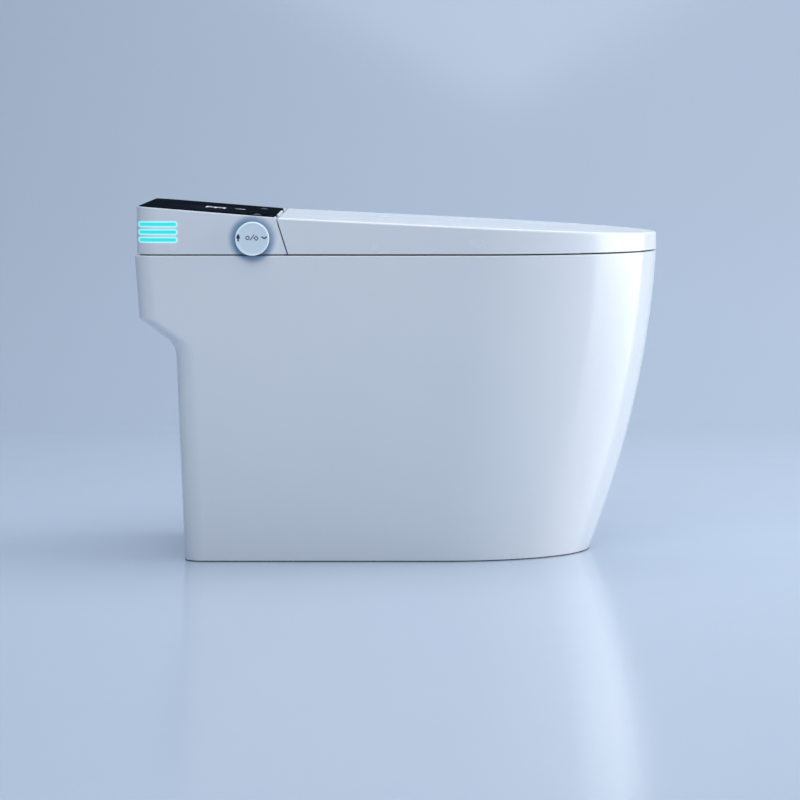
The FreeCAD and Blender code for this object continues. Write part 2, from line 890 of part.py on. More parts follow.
def housing_solid(inset, floor_z, top_drop):
    rear = housing_rear_x + inset
    prism = rim_prism(inset, floor_z - 1, rear_top_height + 10, rear)
    profile = housing_profile(rear - 1, -inset, floor_z, top_drop)
    return prism.common(slab(profile, -far, far))


# ---------------------------------------------------------------- rear housing
def bar_prisms(shrink):
    """Side views of the light bars: long holes with round ends, drawn along Y."""
    radius = bar_height / 2 - shrink
    x0 = rear_x + bar_from_rear + bar_height / 2
    x1 = rear_x + bar_from_rear + bar_length - bar_height / 2
    prisms = []
    for i in range(bar_count):
        z = bar_top_height - bar_pitch * i
        middle = box(x0, x1, -far, -rim_half_width / 2, z - radius, z + radius)
        ends = [rod(x, z, radius, -far, -rim_half_width / 2) for x in (x0, x1)]
        prisms.append(fuse_all([middle] + ends))
    return prisms


def hinge_notches(clear):
    """Openings over the hinge arms, from the front face back past the barrels."""
    inner = seat_arm_inner_y - clear
    outer = seat_arm_inner_y + seat_arm_width + arm_gap + lid_arm_width + clear
    notch = box(hinge_x - barrel_radius - clear, seam_foot_x + arm_notch_run, inner, outer,
                notch_floor, far)
    return both_sides(notch)


def is_top_edge(edge):
    ends = [edge.valueAt(edge.FirstParameter), edge.valueAt(edge.LastParameter)]
    return all(abs(end.z - housing_top(end.x)) < skin for end in ends)


def rear_housing():
    shell = housing_solid(0, seam_base_z, 0)
    shell = shell.makeFillet(housing_edge_radius, [e for e in shell.Edges if is_top_edge(e)])
    space = housing_solid(housing_wall, seam_base_z - 1, panel_thickness + shell_top_wall)
    recess = panel_solid(0)
    tools = [space, recess] + bar_prisms(0) + hinge_notches(side_clearance)
    knob_x = rear_x + knob_from_rear
    wall_y = -rim_half_width
    tools.append(rod(knob_x, knob_height, ring_outer_radius, wall_y - 1,
                     wall_y + ring_depth - ring_proud))
    tools.append(rod(knob_x, knob_height, stem_radius + 1, wall_y - 1,
                     wall_y + housing_wall + 1))
    tools.append(filter_opening())
    return cut_all(shell, tools)


def panel_solid(shrink):
    inset = panel_margin + shrink
    body = housing_solid(inset, seam_base_z, 0)
    below = housing_solid(-1.0, seam_base_z - 1, panel_thickness)
    return body.cut(below)


def top_panel():
    return cut_all(panel_solid(panel_fit), hinge_notches(side_clearance))


def light_bars():
    wall = housing_solid(0, seam_base_z, 0).cut(
        housing_solid(housing_wall, seam_base_z - 1, panel_thickness + shell_top_wall))
    return group([wall.common(prism) for prism in bar_prisms(skin)])


def led_board():
    """Board standing behind the light bars, on the base plate."""
    x0 = rear_x + bar_from_rear + rear_corner_radius / 2
    x1 = rear_x + bar_from_rear + bar_length
    y = -rim_half_width + led_board_inset
    lower = bar_top_height - bar_pitch * (bar_count - 1) - bar_height
    upper = bar_top_height + bar_height / 2
    board = box(x0, x1, y, y + led_board_thickness, lower, upper)
    foot = box(x0, x1, y, y + led_foot_depth, plate_top_z, plate_top_z + led_board_thickness)
    web = box(x0, x1, y, y + led_board_thickness, plate_top_z, lower)
    return fuse_all([board, web, foot])


def filter_opening():
    half = filter_length / 2 + filter_clearance
    tall = filter_height / 2 + filter_clearance
    return box(filter_x - half, filter_x + half, rim_half_width - 2 * housing_wall, far,
               filter_z - tall, filter_z + tall)


def base_plate():
    """Plate that closes the ceramic well and carries everything in the housing."""
    outline = rim_prism(plate_inset, rim_height, plate_top_z, housing_rear_x + plate_inset)
    front = seam_x(rim_height) - plate_inset
    plate = outline.common(box(-far, front, -far, far, 0, far))
    slot = box(slot_rear_x, far, -guide_half_width - 1, guide_half_width + 1, 0, far)
    wide = box(slot_wide_x, far, -channel_half_width, channel_half_width, 0, far)
    posts = [disc(x, y, plate_top_z, board_post_radius, board_height - plate_thickness)
             for x, y in board_posts()]
    plate = cut_all(plate, [slot, wide])
    plate = fuse_all([plate] + posts)
    for x, y in chassis_bolt_places():
        plate = plate.cut(disc(x, y, 0, chassis_bolt_radius, far))
    return plate


def board_posts():
    x0, x1, y0, y1 = board_outline
    edge = board_post_radius
    return [(x, y) for x in (x0 + edge, x1 - edge) for y in (y0 + edge, y1 - edge)]


def control_board():
    x0, x1, y0, y1 = board_outline
    z = rim_height + board_height
    board = box(x0, x1, y0, y1, z, z + led_board_thickness)
    top = z + led_board_thickness
    chips = []
    pitch = (y1 - y0) / (chip_count + 1)
    for i in range(chip_count):
        y = y0 + pitch * (i + 1)
        side = chip_size * (0.6 + 0.2 * (i % 3))
        chips.append(box(x0 + chip_inset, x0 + chip_inset + side, y - side / 2, y + side / 2,
                         top, top + chip_height))
    return fuse_all([board] + chips)


def chassis_bolts():
    bolts = []
    for x, y in chassis_bolt_places():
        shank = disc(x, y, rim_height - rim_thickness + 2, chassis_bolt_radius - skin,
                     rim_thickness + plate_thickness - 2)
        head = disc(x, y, plate_top_z, bolt_head_radius, bolt_head_height)
        bolts.append(fuse_all([shank, head]))
    return group(bolts)


def chassis_sleeves():
    """Rubber sleeves that grip the bolts inside the ceramic holes."""
    sleeves = []
    low = rim_height - rim_thickness
    for x, y in chassis_bolt_places():
        sleeve = disc(x, y, low, chassis_sleeve_radius - skin, rim_thickness)
        sleeves.append(sleeve.cut(disc(x, y, low - 1, chassis_bolt_radius, far)))
    return group(sleeves)


# ---------------------------------------------------------------- control knob
def control_knob():
    x = rear_x + knob_from_rear
    front = -rim_half_width - knob_depth - ring_proud - knob_gap
    back = -rim_half_width - ring_proud - knob_gap
    cap = rod(x, knob_height, knob_radius, front, back)
    rim = [e for e in cap.Edges if e.BoundBox.YMax < front + skin]
    cap = cap.makeFillet(knob_edge_radius, rim)
    hollow = rod(x, knob_height, knob_radius - knob_wall, front + knob_wall, back + 1)
    boss = rod(x, knob_height, stem_radius + knob_boss_wall, front + 1, back)
    cap = fuse_all([cap.cut(hollow), boss])
    return cap.cut(rod(x, knob_height, stem_radius + stem_clearance, front + knob_wall, far))


def knob_stem():
    x = rear_x + knob_from_rear
    front = -rim_half_width - knob_depth - ring_proud - knob_gap + knob_wall
    back = -rim_half_width + housing_wall + encoder_depth / 2
    return rod(x, knob_height, stem_radius, front, back)


def knob_light_ring():
    x = rear_x + knob_from_rear
    y0 = -rim_half_width - ring_proud
    ring = rod(x, knob_height, ring_outer_radius, y0, y0 + ring_depth)
    return ring.cut(rod(x, knob_height, ring_inner_radius, y0 - 1, y0 + ring_depth + 1))


def encoder():
    """Switch block behind the wall that reads the knob's turn and push."""
    x = rear_x + knob_from_rear
    y0 = -rim_half_width + housing_wall
    half = encoder_size / 2
    block = box(x - half, x + half, y0, y0 + encoder_depth, knob_height - half,
                knob_height + half)
    return block.cut(rod(x, knob_height, stem_radius + stem_clearance, y0 - 1,
                         y0 + encoder_depth / 2 + knob_travel + encoder_spare))


# ---------------------------------------------------------------- hinge parts
def hinge_ears():
    inner = seat_arm_inner_y - side_clearance - ear_thickness
    outer = seat_arm_inner_y + seat_arm_width + arm_gap + lid_arm_width + side_clearance
    return inner, outer


def hinge_brackets():
    inner, outer = hinge_ears()
    x0 = hinge_x - bracket_half_length
    x1 = hinge_x + bracket_half_length
    top = hinge_z + shaft_radius + bracket_cap
    foot = box(x0, x1, inner, outer + ear_thickness, plate_top_z, plate_top_z + ear_thickness)
    ears = [box(x0, x1, y, y + ear_thickness, plate_top_z, top) for y in (inner, outer)]
    bracket = fuse_all([foot] + ears)
    bracket = bracket.cut(rod(hinge_x, hinge_z, shaft_radius, 0, far))
    return group(both_sides(bracket))


def hinge_shafts():
    inner, outer = hinge_ears()
    shaft = rod(hinge_x, hinge_z, shaft_radius - skin / 2, inner, outer + ear_thickness)
    return group(both_sides(shaft))


def damper():
    """Soft closing gear unit at the inner end of a hinge shaft."""
    inner, outer = hinge_ears()
    body = box(hinge_x - damper_half_length, hinge_x + damper_half_length,
               inner - damper_width, inner, hinge_z - damper_drop, hinge_z + damper_rise)
    hub = rod(hinge_x, hinge_z, shaft_radius, inner - 1, inner)
    foot = box(hinge_x - damper_half_length, hinge_x - damper_half_length + ear_thickness,
               inner - ear_thickness, inner, plate_top_z, hinge_z)
    return fuse_all([body, foot]).cut(hub)


def lid_damper():
    return damper()


def seat_damper():
    return mirror_y(damper())


def lid_solid(inset, floor_z, top_drop, rear_offset):
    prism = rim_prism(inset, floor_z - 1, rear_top_height, rear_x)
    rear_top_x = seam_x(seam_top_height - top_drop, rear_offset)
    profile = [
        (seam_x(floor_z, rear_offset), floor_z),
        (rear_top_x, lid_top(rear_top_x) - top_drop),
        (nose_x + cut_spare, lid_top(nose_x + cut_spare) - top_drop),
        (nose_x + cut_spare, floor_z),
    ]
    return prism.common(slab(profile, -far, far))


def lid_shell():
    outer = lid_solid(0, seam_base_z, 0, lid_seam_gap)
    top_edges = [e for e in outer.Edges if e.BoundBox.ZMin > seam_base_z + lid_edge_radius]
    outer = outer.makeFillet(lid_edge_radius, top_edges)
    space = lid_solid(lid_side_wall, seam_base_z - 1, lid_top_wall,
                      lid_seam_gap + lid_side_wall)
    lid = outer.cut(space)
    inner = seat_arm_inner_y - side_clearance
    middle = seat_arm_inner_y + seat_arm_width + side_clearance
    outer_y = lid_arm_start() + lid_arm_width + side_clearance
    x0 = seam_top_x
    x1 = seam_x(seam_base_z, lid_seam_gap + lid_side_wall) + 1
    seat_slot = box(x0, x1, inner, middle, 0, seat_slot_top)
    arm_slot = box(x0, x1, lid_arm_start() - skin, outer_y, 0, far)
    arm_slot = between_planes(arm_slot, rear_top_height, lid_top_wall)
    return cut_all(lid, both_sides(seat_slot) + both_sides(arm_slot))


def lid_arm_start():
    return seat_arm_inner_y + seat_arm_width + arm_gap


def lid_arms():
    """Black arms: barrel on the shaft, tongue forward under the lid's top."""
    start = lid_arm_start()
    root_x = hinge_x + barrel_radius
    wall_x = seam_x(seam_top_height, 0) - 1
    tip_x = hinge_x + lid_arm_reach
    drop = lid_top_wall
    tongue = seat_lid_gap - arm_seat_gap
    neck_x = seat_rear_x() - arm_seat_gap
    profile = [
        (hinge_x, hinge_z + barrel_radius - 1),
        (wall_x, lid_top(wall_x) - drop - 0.6),
        (seam_top_x + lid_arm_run, lid_top(seam_top_x + lid_arm_run) - drop),
        (tip_x, lid_top(tip_x) - drop),
        (tip_x, lid_top(tip_x) - drop - tongue),
        (neck_x, lid_top(neck_x) - drop - tongue),
        (root_x, lid_top(root_x) - drop - arm_thickness),
        (hinge_x, hinge_z - 2),
    ]
    blade = slab(profile, start, start + lid_arm_width)
    barrel = rod(hinge_x, hinge_z, barrel_radius, start, start + lid_arm_width)
    arm = fuse_all([blade, barrel])
    arm = arm.cut(rod(hinge_x, hinge_z, shaft_radius + shaft_clearance, 0, far))
    return group(both_sides(arm))


def between_planes(shape, low_drop, high_drop):
    """Keeps what lies between two planes parallel to the lid's top."""
    x0 = seam_top_x
    x1 = nose_x
    profile = [
        (x0, lid_top(x0) - low_drop),
        (x0, lid_top(x0) - high_drop),
        (x1, lid_top(x1) - high_drop),
        (x1, lid_top(x1) - low_drop),
    ]
    return shape.common(slab(profile, -far, far))


def bumper_places():
    return [(x, side * y) for x, y in seat_bumper_points for side in (-1, 1)]


def lid_bumpers():
    bumpers = []
    for x, y in bumper_places():
        pad = disc(x, y, rim_height, bumper_radius, rear_top_height - rim_height)
        bumpers.append(between_planes(pad, lid_top_wall + seat_lid_gap, lid_top_wall))
    return group(bumpers)


# ---------------------------------------------------------------- seat
def seat_rear_x():
    """Just clear of the arc that the lid's rear wall swings through as it opens."""
    foot_x = seam_x(seam_base_z, lid_seam_gap + lid_side_wall)
    swing = math.hypot(foot_x - hinge_x, seam_base_z - hinge_z)
    return hinge_x + swing + swing_clearance


def seat_ring(inset, z0, z1):
    """Upright ring between the seat's outline and its opening."""
    outline = rim_prism(lid_side_wall + seat_side_gap + inset, z0, z1, seat_rear_x() + inset)
    hole_x = nose_x - seat_hole_from_nose
    hole = ellipse_wire(hole_x, z0 - 1, seat_hole_half_length + inset,
                        seat_hole_half_width + inset)
    return outline.cut(Part.Face(hole).extrude(V(0, 0, z1 - z0 + 2)))


def seat_block(inset, z0, top_drop):
    ring = seat_ring(inset, z0, rear_top_height)
    profile = [
        (seat_rear_x() - 1, z0 - 1),
        (seat_rear_x() - 1, lid_top(seat_rear_x() - 1) - top_drop),
        (nose_x, lid_top(nose_x) - top_drop),
        (nose_x, z0 - 1),
    ]
    return ring.common(slab(profile, -far, far))


def seat_drop():
    return lid_top_wall + seat_lid_gap


def seat_top():
    z0 = rim_height + seat_foot_gap
    shell = seat_block(0, z0, seat_drop())
    rims = [e for e in shell.Edges if e.BoundBox.ZMin > z0 + 2 and e.BoundBox.XLength > 1
            or is_rear_top_edge(e, z0)]
    shell = shell.makeFillet(seat_edge_radius, rims)
    space = seat_block(seat_wall, z0 - 1, seat_drop() + seat_wall)
    return shell.cut(space)


def is_rear_top_edge(edge, z0):
    limits = edge.BoundBox
    return limits.ZMin > z0 + 2 and limits.YLength > seat_hole_half_width


def seat_base():
    """Tray that closes the seat from below."""
    z0 = rim_height + seat_foot_gap
    return seat_ring(seat_wall + skin, z0, z0 + seat_wall)


def seat_heater():
    """Heating mat under the seat's top."""
    drop = seat_drop() + seat_wall
    ring = seat_ring(heater_inset, rim_height, rear_top_height)
    return between_planes(ring, drop + heater_thickness, drop + skin)


def seat_bumpers():
    return group([disc(x, y, rim_height, bumper_radius, seat_foot_gap)
                  for x, y in bumper_places()])


def seat_arms():
    """Black arms from the shafts to the rear face of the seat."""
    y0 = seat_arm_inner_y
    y1 = y0 + seat_arm_width
    rear = seat_rear_x()
    top = lid_top(rear) - seat_drop() - seat_edge_radius - 1
    profile = [
        (hinge_x, hinge_z + barrel_radius * 0.6),
        (rear - 8, top),
        (rear, top),
        (rear, top - arm_thickness * 2),
        (rear - 8, top - arm_thickness * 2),
        (hinge_x, hinge_z - barrel_radius * 0.8),
    ]
    arm = fuse_all([slab(profile, y0, y1), rod(hinge_x, hinge_z, barrel_radius, y0, y1)])
    arm = arm.cut(rod(hinge_x, hinge_z, shaft_radius + shaft_clearance, 0, far))
    return group(both_sides(arm))


# ---------------------------------------------------------------- bidet nozzles
def place_nozzle(shape):
    """From the wand's own axes, X forward along the wand, to the part's frame."""
    shape = shape.copy()
    shape.rotate(V(0, 0, 0), V(0, 1, 0), nozzle_angle)
    shape.translate(V(mouth_x, 0, mouth_height))
    return shape


def along_x(x0, x1, y, z, radius):
    return Part.makeCylinder(radius, x1 - x0, V(x0, y, z), V(1, 0, 0))


def rack_base():
    return wand_radius + rack_rise


def pitch_line():
    return rack_base() + gear_module * tooth_root


def pinion_center():
    return pitch_line() + gear_module * pinion_teeth / 2 + mesh_clearance


def nozzle_guide():
    """Block with two sloping bores for the wands, open on top over their racks."""
    h = guide_half_height
    block = box(-guide_length, -2, -guide_half_width, guide_half_width, -h, h)
    plate_h = pinion_center() + motor_radius
    px = -pinion_from_tip
    for side in (-1, 1):
        y0 = min(side * guide_half_width, side * (guide_half_width - ear_thickness / 2))
        block = block.fuse(box(px - motor_radius, px + motor_radius, y0,
                               y0 + ear_thickness / 2, h - 1, plate_h))
    tools = []
    for side in (-1, 1):
        y = side * wand_spacing / 2
        tools.append(along_x(-far, far, y, 0, wand_radius + wand_bore_clearance))
        key = rack_width / 2 + rack_key_clearance
        tools.append(box(-far, far, y - key, y + key, 0, h + 0.5))
    tools.append(rod(px, pinion_center(), pinion_shaft_radius + 0.3, -far, far))
    block = cut_all(block.removeSplitter(), tools)
    guide = place_nozzle(block)
    feet = [box(guide_foot_x, guide_foot_x + guide_foot_length, y0, y0 + guide_foot_width,
                plate_top_z, plate_top_z + plate_thickness)
            for y0 in (guide_half_width - 1, -guide_half_width + 1 - guide_foot_width)]
    return fuse_all([guide] + feet)


def wand(side):
    y = side * wand_spacing / 2
    tube = along_x(-wand_length, -tip_length, y, 0, wand_radius)
    half = rack_width / 2
    rear = -pinion_from_tip - wand_stroke - rack_spare
    front = -pinion_from_tip + rack_spare
    rack = box(rear, front, y - half, y + half, wand_radius / 2, rack_base())
    pitch = math.pi * gear_module
    teeth = []
    count = int((front - rear) / pitch) - 1
    first = -pinion_from_tip + pitch / 2
    steps_back = int((first - rear) / pitch) - 1
    for i in range(count):
        x = first + (i - steps_back) * pitch
        if rear + pitch / 2 < x < front - pitch / 2:
            teeth.append(rack_tooth(x, y, pitch))
    body = tube.fuse(rack).multiFuse(teeth).removeSplitter()
    body = body.cut(along_x(-far, -tip_length, y, 0, wand_bore_radius))
    return place_nozzle(body)


def rack_tooth(x, y, pitch):
    base = rack_base()
    tip = base + gear_module * (tooth_root + tooth_tip)
    low = pitch * tooth_foot_share / 2
    high = pitch * tooth_tip_share / 2
    points = [(x - low, base - tooth_sink), (x - low, base), (x - high, tip), (x + high, tip),
              (x + low, base), (x + low, base - tooth_sink)]
    return slab(points, y - rack_width / 2, y + rack_width / 2)


def nozzle_tip(side):
    y = side * wand_spacing / 2
    tip = along_x(-tip_length, 0, y, 0, wand_radius)
    front = [e for e in tip.Edges if e.BoundBox.XMin > -1]
    tip = tip.makeFillet(wand_radius / 3, front)
    plug = along_x(-tip_length - 5, -tip_length, y, 0, wand_bore_radius)
    tip = fuse_all([tip, plug])
    jets = []
    for i in range(jet_count):
        x = -tip_length / 2 + (i - (jet_count - 1) / 2) * jet_pitch
        jets.append(disc(x, y, 0, jet_radius, far))
    return place_nozzle(cut_all(tip, jets))


def pinion(side):
    """Gear on its motor shaft, in mesh with the rack on the wand."""
    y = side * wand_spacing / 2
    half = pinion_width / 2
    pitch_radius = gear_module * pinion_teeth / 2
    root = pitch_radius - gear_module * tooth_root
    center = V(-pinion_from_tip, 0, pinion_center())
    gear = rod(center.x, center.z, root, y - half, y + half)
    pitch = math.pi * gear_module
    teeth = []
    for i in range(pinion_teeth):
        low = pitch * tooth_foot_share / 2
        high = pitch * tooth_tip_share / 2
        tip = pitch_radius + gear_module * tooth_tip
        foot = center.z - root + pinion_tooth_sink
        points = [(center.x - low, foot), (center.x - low, center.z - root),
                  (center.x - high, center.z - tip), (center.x + high, center.z - tip),
                  (center.x + low, center.z - root), (center.x + low, foot)]
        tooth = slab(points, y - half, y + half)
        tooth.rotate(center, V(0, 1, 0), 360.0 * i / pinion_teeth)
        teeth.append(tooth)
    gear = gear.multiFuse(teeth).removeSplitter()
    ends = sorted([y, side * (guide_half_width + motor_length / 2)])
    shaft = rod(center.x, center.z, pinion_shaft_radius, ends[0], ends[1])
    return place_nozzle(fuse_all([gear, shaft]))


def wand_motors():
    motors = []
    for side in (-1, 1):
        ends = sorted([side * guide_half_width, side * (guide_half_width + motor_length)])
        x = -pinion_from_tip
        z = pinion_center()
        motor = rod(x, z, motor_radius, ends[0], ends[1])
        bore_end = side * (guide_half_width + motor_length / 2 + 1)
        bore = sorted([side * (guide_half_width - 1), bore_end])
        motor = motor.cut(rod(x, z, pinion_shaft_radius + shaft_clearance, bore[0], bore[1]))
        motors.append(place_nozzle(motor))
    return group(motors)


def water_heater():
    x0, x1, y0, y1, height = heater_box
    case = box(x0, x1, y0, y1, plate_top_z, plate_top_z + height)
    uprights = [e for e in case.Edges if e.BoundBox.ZLength > height / 2]
    case = case.makeFillet(heater_corner_radius, uprights)
    first = heater_corner_radius + spigot_margin
    spigots = [along_x(x1 - 1, x1 + spigot_length, y1 - d, plate_top_z + height / 2, spigot_radius)
               for d in (first, first + spigot_spacing)]
    return fuse_all([case] + spigots)


def wash_diverter():
    """Valve that sends the warm water to one wand or the other."""
    x, y = diverter_place
    body = disc(x, y, plate_top_z, diverter_radius, diverter_height)
    cap = disc(x, y, plate_top_z + diverter_height, diverter_radius * 0.7, diverter_height / 3)
    ports = [rod(x, plate_top_z + diverter_height * share, spigot_radius,
                 y, y + diverter_radius + diverter_port_reach) for share in diverter_port_shares]
    return fuse_all([body, cap] + ports)


# ---------------------------------------------------------------- dryer
def blower_y():
    return duct_inner_y + blower_radius


def outlet_floor():
    return plate_top_z + blower_wall


def blower_case():
    x = blower_x
    y = blower_y()
    z0 = plate_top_z
    inner = blower_radius - blower_wall
    outer = disc(x, y, z0, blower_radius, blower_height)
    y0 = duct_inner_y
    spout = box(x, duct_rear_x, y0, y0 + duct_width, z0, outlet_floor() + duct_height + duct_wall)
    case = fuse_all([outer, spout])
    space = disc(x, y, z0 + blower_wall, inner, blower_height - 2 * blower_wall)
    throat = box(x, duct_rear_x + 1, y0 + duct_wall, y0 + duct_width - duct_wall,
                 outlet_floor(), outlet_floor() + duct_height - duct_wall)
    mouth = disc(x, y, z0, wheel_radius - blower_mouth_margin, far)
    floor_mouth = disc(x, y, z0 - 1, wheel_radius - blower_mouth_margin, blower_wall + 2)
    case = cut_all(case, [space, throat, mouth.cut(floor_mouth)])
    top = z0 + blower_height
    strap = box(x - blower_radius, x + blower_radius, y - strap_half_width, y + strap_half_width,
                top, top + blower_wall)
    strap = strap.cut(disc(x, y, top - 1, pinion_shaft_radius + 0.5, far))
    return fuse_all([case, strap])


def blower_motor():
    x = blower_x
    y = blower_y()
    low = plate_top_z + blower_height + blower_wall
    body = disc(x, y, low, motor_radius, blower_motor_height)
    shaft_low = plate_top_z + blower_wall + 3
    shaft = disc(x, y, shaft_low, pinion_shaft_radius, low - shaft_low)
    return fuse_all([body, shaft])


def blower_wheel():
    x = blower_x
    y = blower_y()
    low = plate_top_z + blower_wall + wheel_floor_gap
    top = low + wheel_height
    inner = wheel_radius - blower_mouth_margin
    ring = disc(x, y, top - wheel_plate, wheel_radius, wheel_plate)
    ring = ring.cut(disc(x, y, top - wheel_plate - 1, inner, wheel_plate + 2))
    base = disc(x, y, low, wheel_radius, wheel_plate)
    hub = disc(x, y, low, wheel_hub_radius, wheel_height - wheel_hub_radius)
    blade = box(x + inner, x + wheel_radius - 0.5, y - 0.5, y + 0.5, low + 1, top - 1)
    blades = []
    for i in range(blade_count):
        turned = blade.copy()
        turned.rotate(V(x + wheel_radius - blower_mouth_margin / 2, y, 0), V(0, 0, 1), blade_turn)
        turned.rotate(V(x, y, 0), V(0, 0, 1), 360.0 * i / blade_count)
        blades.append(turned)
    wheel = base.multiFuse([ring, hub] + blades).removeSplitter()
    return wheel.cut(disc(x, y, low - 1, pinion_shaft_radius + shaft_clearance, far))


def duct_profile(wall, reach):
    tall = duct_height - 2 * wall
    stations = [(duct_rear_x - reach, outlet_floor()), (duct_bend_x, duct_bend_floor),
                (mouth_x + reach, duct_mouth_floor)]
    lower = [(x, z + wall) for x, z in stations]
    upper = [(x, z + wall + tall) for x, z in reversed(stations)]
    return lower + upper


def dryer_duct():
    y0 = duct_inner_y
    y1 = y0 + duct_width
    duct = slab(duct_profile(0, 0), y0, y1)
    duct = duct.cut(slab(duct_profile(duct_wall, 1), y0 + duct_wall, y1 - duct_wall))
    x, z = flap_pivot()
    ears = [box(mouth_x - 4, x + 1.6, y, y + duct_wall, z - 1.6, z + 1.6)
            for y in (y0, y1 - duct_wall)]
    pin = rod(x, z, flap_pin_radius, y0, y1)
    return fuse_all([duct] + ears + [pin])


def flap_pivot():
    return mouth_x + flap_gap + flap_thickness / 2, duct_mouth_floor + duct_height + 0.8


def dryer_flap():
    x, z = flap_pivot()
    y0 = duct_inner_y + duct_wall + flap_edge_gap
    y1 = duct_inner_y + duct_width - duct_wall - flap_edge_gap
    barrel = rod(x, z, flap_barrel_radius, y0, y1)
    plate = box(mouth_x + flap_gap, mouth_x + flap_gap + flap_thickness, y0, y1,
                duct_mouth_floor, z)
    flap = fuse_all([barrel, plate])
    return flap.cut(rod(x, z, flap_pin_radius + shaft_clearance, 0, far))


def dryer_element():
    """Heating coil carrier inside the duct."""
    y0 = duct_inner_y + duct_wall
    y1 = duct_inner_y + duct_width - duct_wall
    x0 = duct_rear_x + element_pitch
    carrier = box(x0, x0 + element_length, (y0 + y1) / 2 - 0.8, (y0 + y1) / 2 + 0.8,
                  0, far)
    inside = slab(duct_profile(duct_wall + skin, 1), y0 + skin, y1 - skin)
    wires = [box(x0 + element_pitch * i, x0 + element_pitch * i + 1, y0 + 2, y1 - 2, 0, far)
             for i in range(1, int(element_length / element_pitch))]
    middle = slab(duct_profile(duct_wall + element_margin, 0), y0, y1)
    return fuse_all([carrier.common(inside)] + [w.common(middle) for w in wires])


# ---------------------------------------------------------------- deodoriser
def filter_cartridge():
    half = filter_length / 2
    tall = filter_height / 2
    y1 = rim_half_width
    case = box(filter_x - half, filter_x + half, y1 - filter_depth, y1, filter_z - tall,
               filter_z + tall)
    grip = rod(filter_x, filter_z, filter_height / 4, y1 - 2, y1 + 1)
    tools = [grip]
    for i in range(filter_slots):
        x = filter_x - half + filter_length * (i + 0.5) / filter_slots
        tools.append(box(x - filter_slot_half_width, x + filter_slot_half_width,
                         y1 - filter_depth - 1, y1 - housing_wall - 3,
                         filter_z - tall + 2, filter_z + tall - 2))
    return cut_all(case, tools)


def fan_y():
    return rim_half_width - filter_depth - fan_depth - fan_gap


def filter_cradle():
    """Tray on the base plate for the cartridge, with the fan's frame at its inner end."""
    half = filter_length / 2 + filter_clearance
    wall = duct_wall
    low = filter_z - filter_height / 2 - filter_clearance
    y0 = fan_y() - fan_gap
    y1 = rim_half_width - housing_wall
    floor = box(filter_x - half - wall, filter_x + half + wall, y0, y1, plate_top_z, low)
    frame_top = filter_z + fan_radius + fan_frame_wall
    frame = box(filter_x - half - wall, filter_x + half + wall, y0, y0 + fan_depth + fan_gap,
                plate_top_z, frame_top)
    frame = frame.cut(rod(filter_x, filter_z, fan_radius + fan_frame_clearance, y0 + wall, far))
    window = rod(filter_x, filter_z, fan_radius - fan_frame_wall, y0 - 1, far)
    hub = rod(filter_x, filter_z, fan_hub_radius, y0, y0 + wall)
    arm = box(filter_x - 1.5, filter_x + 1.5, y0, y0 + wall, plate_top_z, filter_z)
    axle = rod(filter_x, filter_z, fan_axle_radius, y0, y0 + fan_depth)
    return fuse_all([floor, frame.cut(window), hub, arm, axle])


def deodoriser_fan():
    y0 = fan_y() - fan_gap + duct_wall + 0.5
    y1 = y0 + fan_depth - duct_wall - 1
    hub = rod(filter_x, filter_z, fan_hub_radius, y0, y1)
    blade = box(filter_x + fan_hub_radius - 1, filter_x + fan_radius, y0 + 1.5, y0 + 2.7,
                filter_z - 3, filter_z + 3)
    blades = []
    for i in range(fan_blades):
        turned = blade.copy()
        turned.rotate(V(filter_x, y0 + 2, filter_z), V(1, 0, 0), fan_blade_turn)
        turned.rotate(V(filter_x, 0, filter_z), V(0, 1, 0), 360.0 * i / fan_blades)
        blades.append(turned)
    fan = hub.multiFuse(blades).removeSplitter()
    return fan.cut(rod(filter_x, filter_z, fan_axle_radius + shaft_clearance, 0, far))


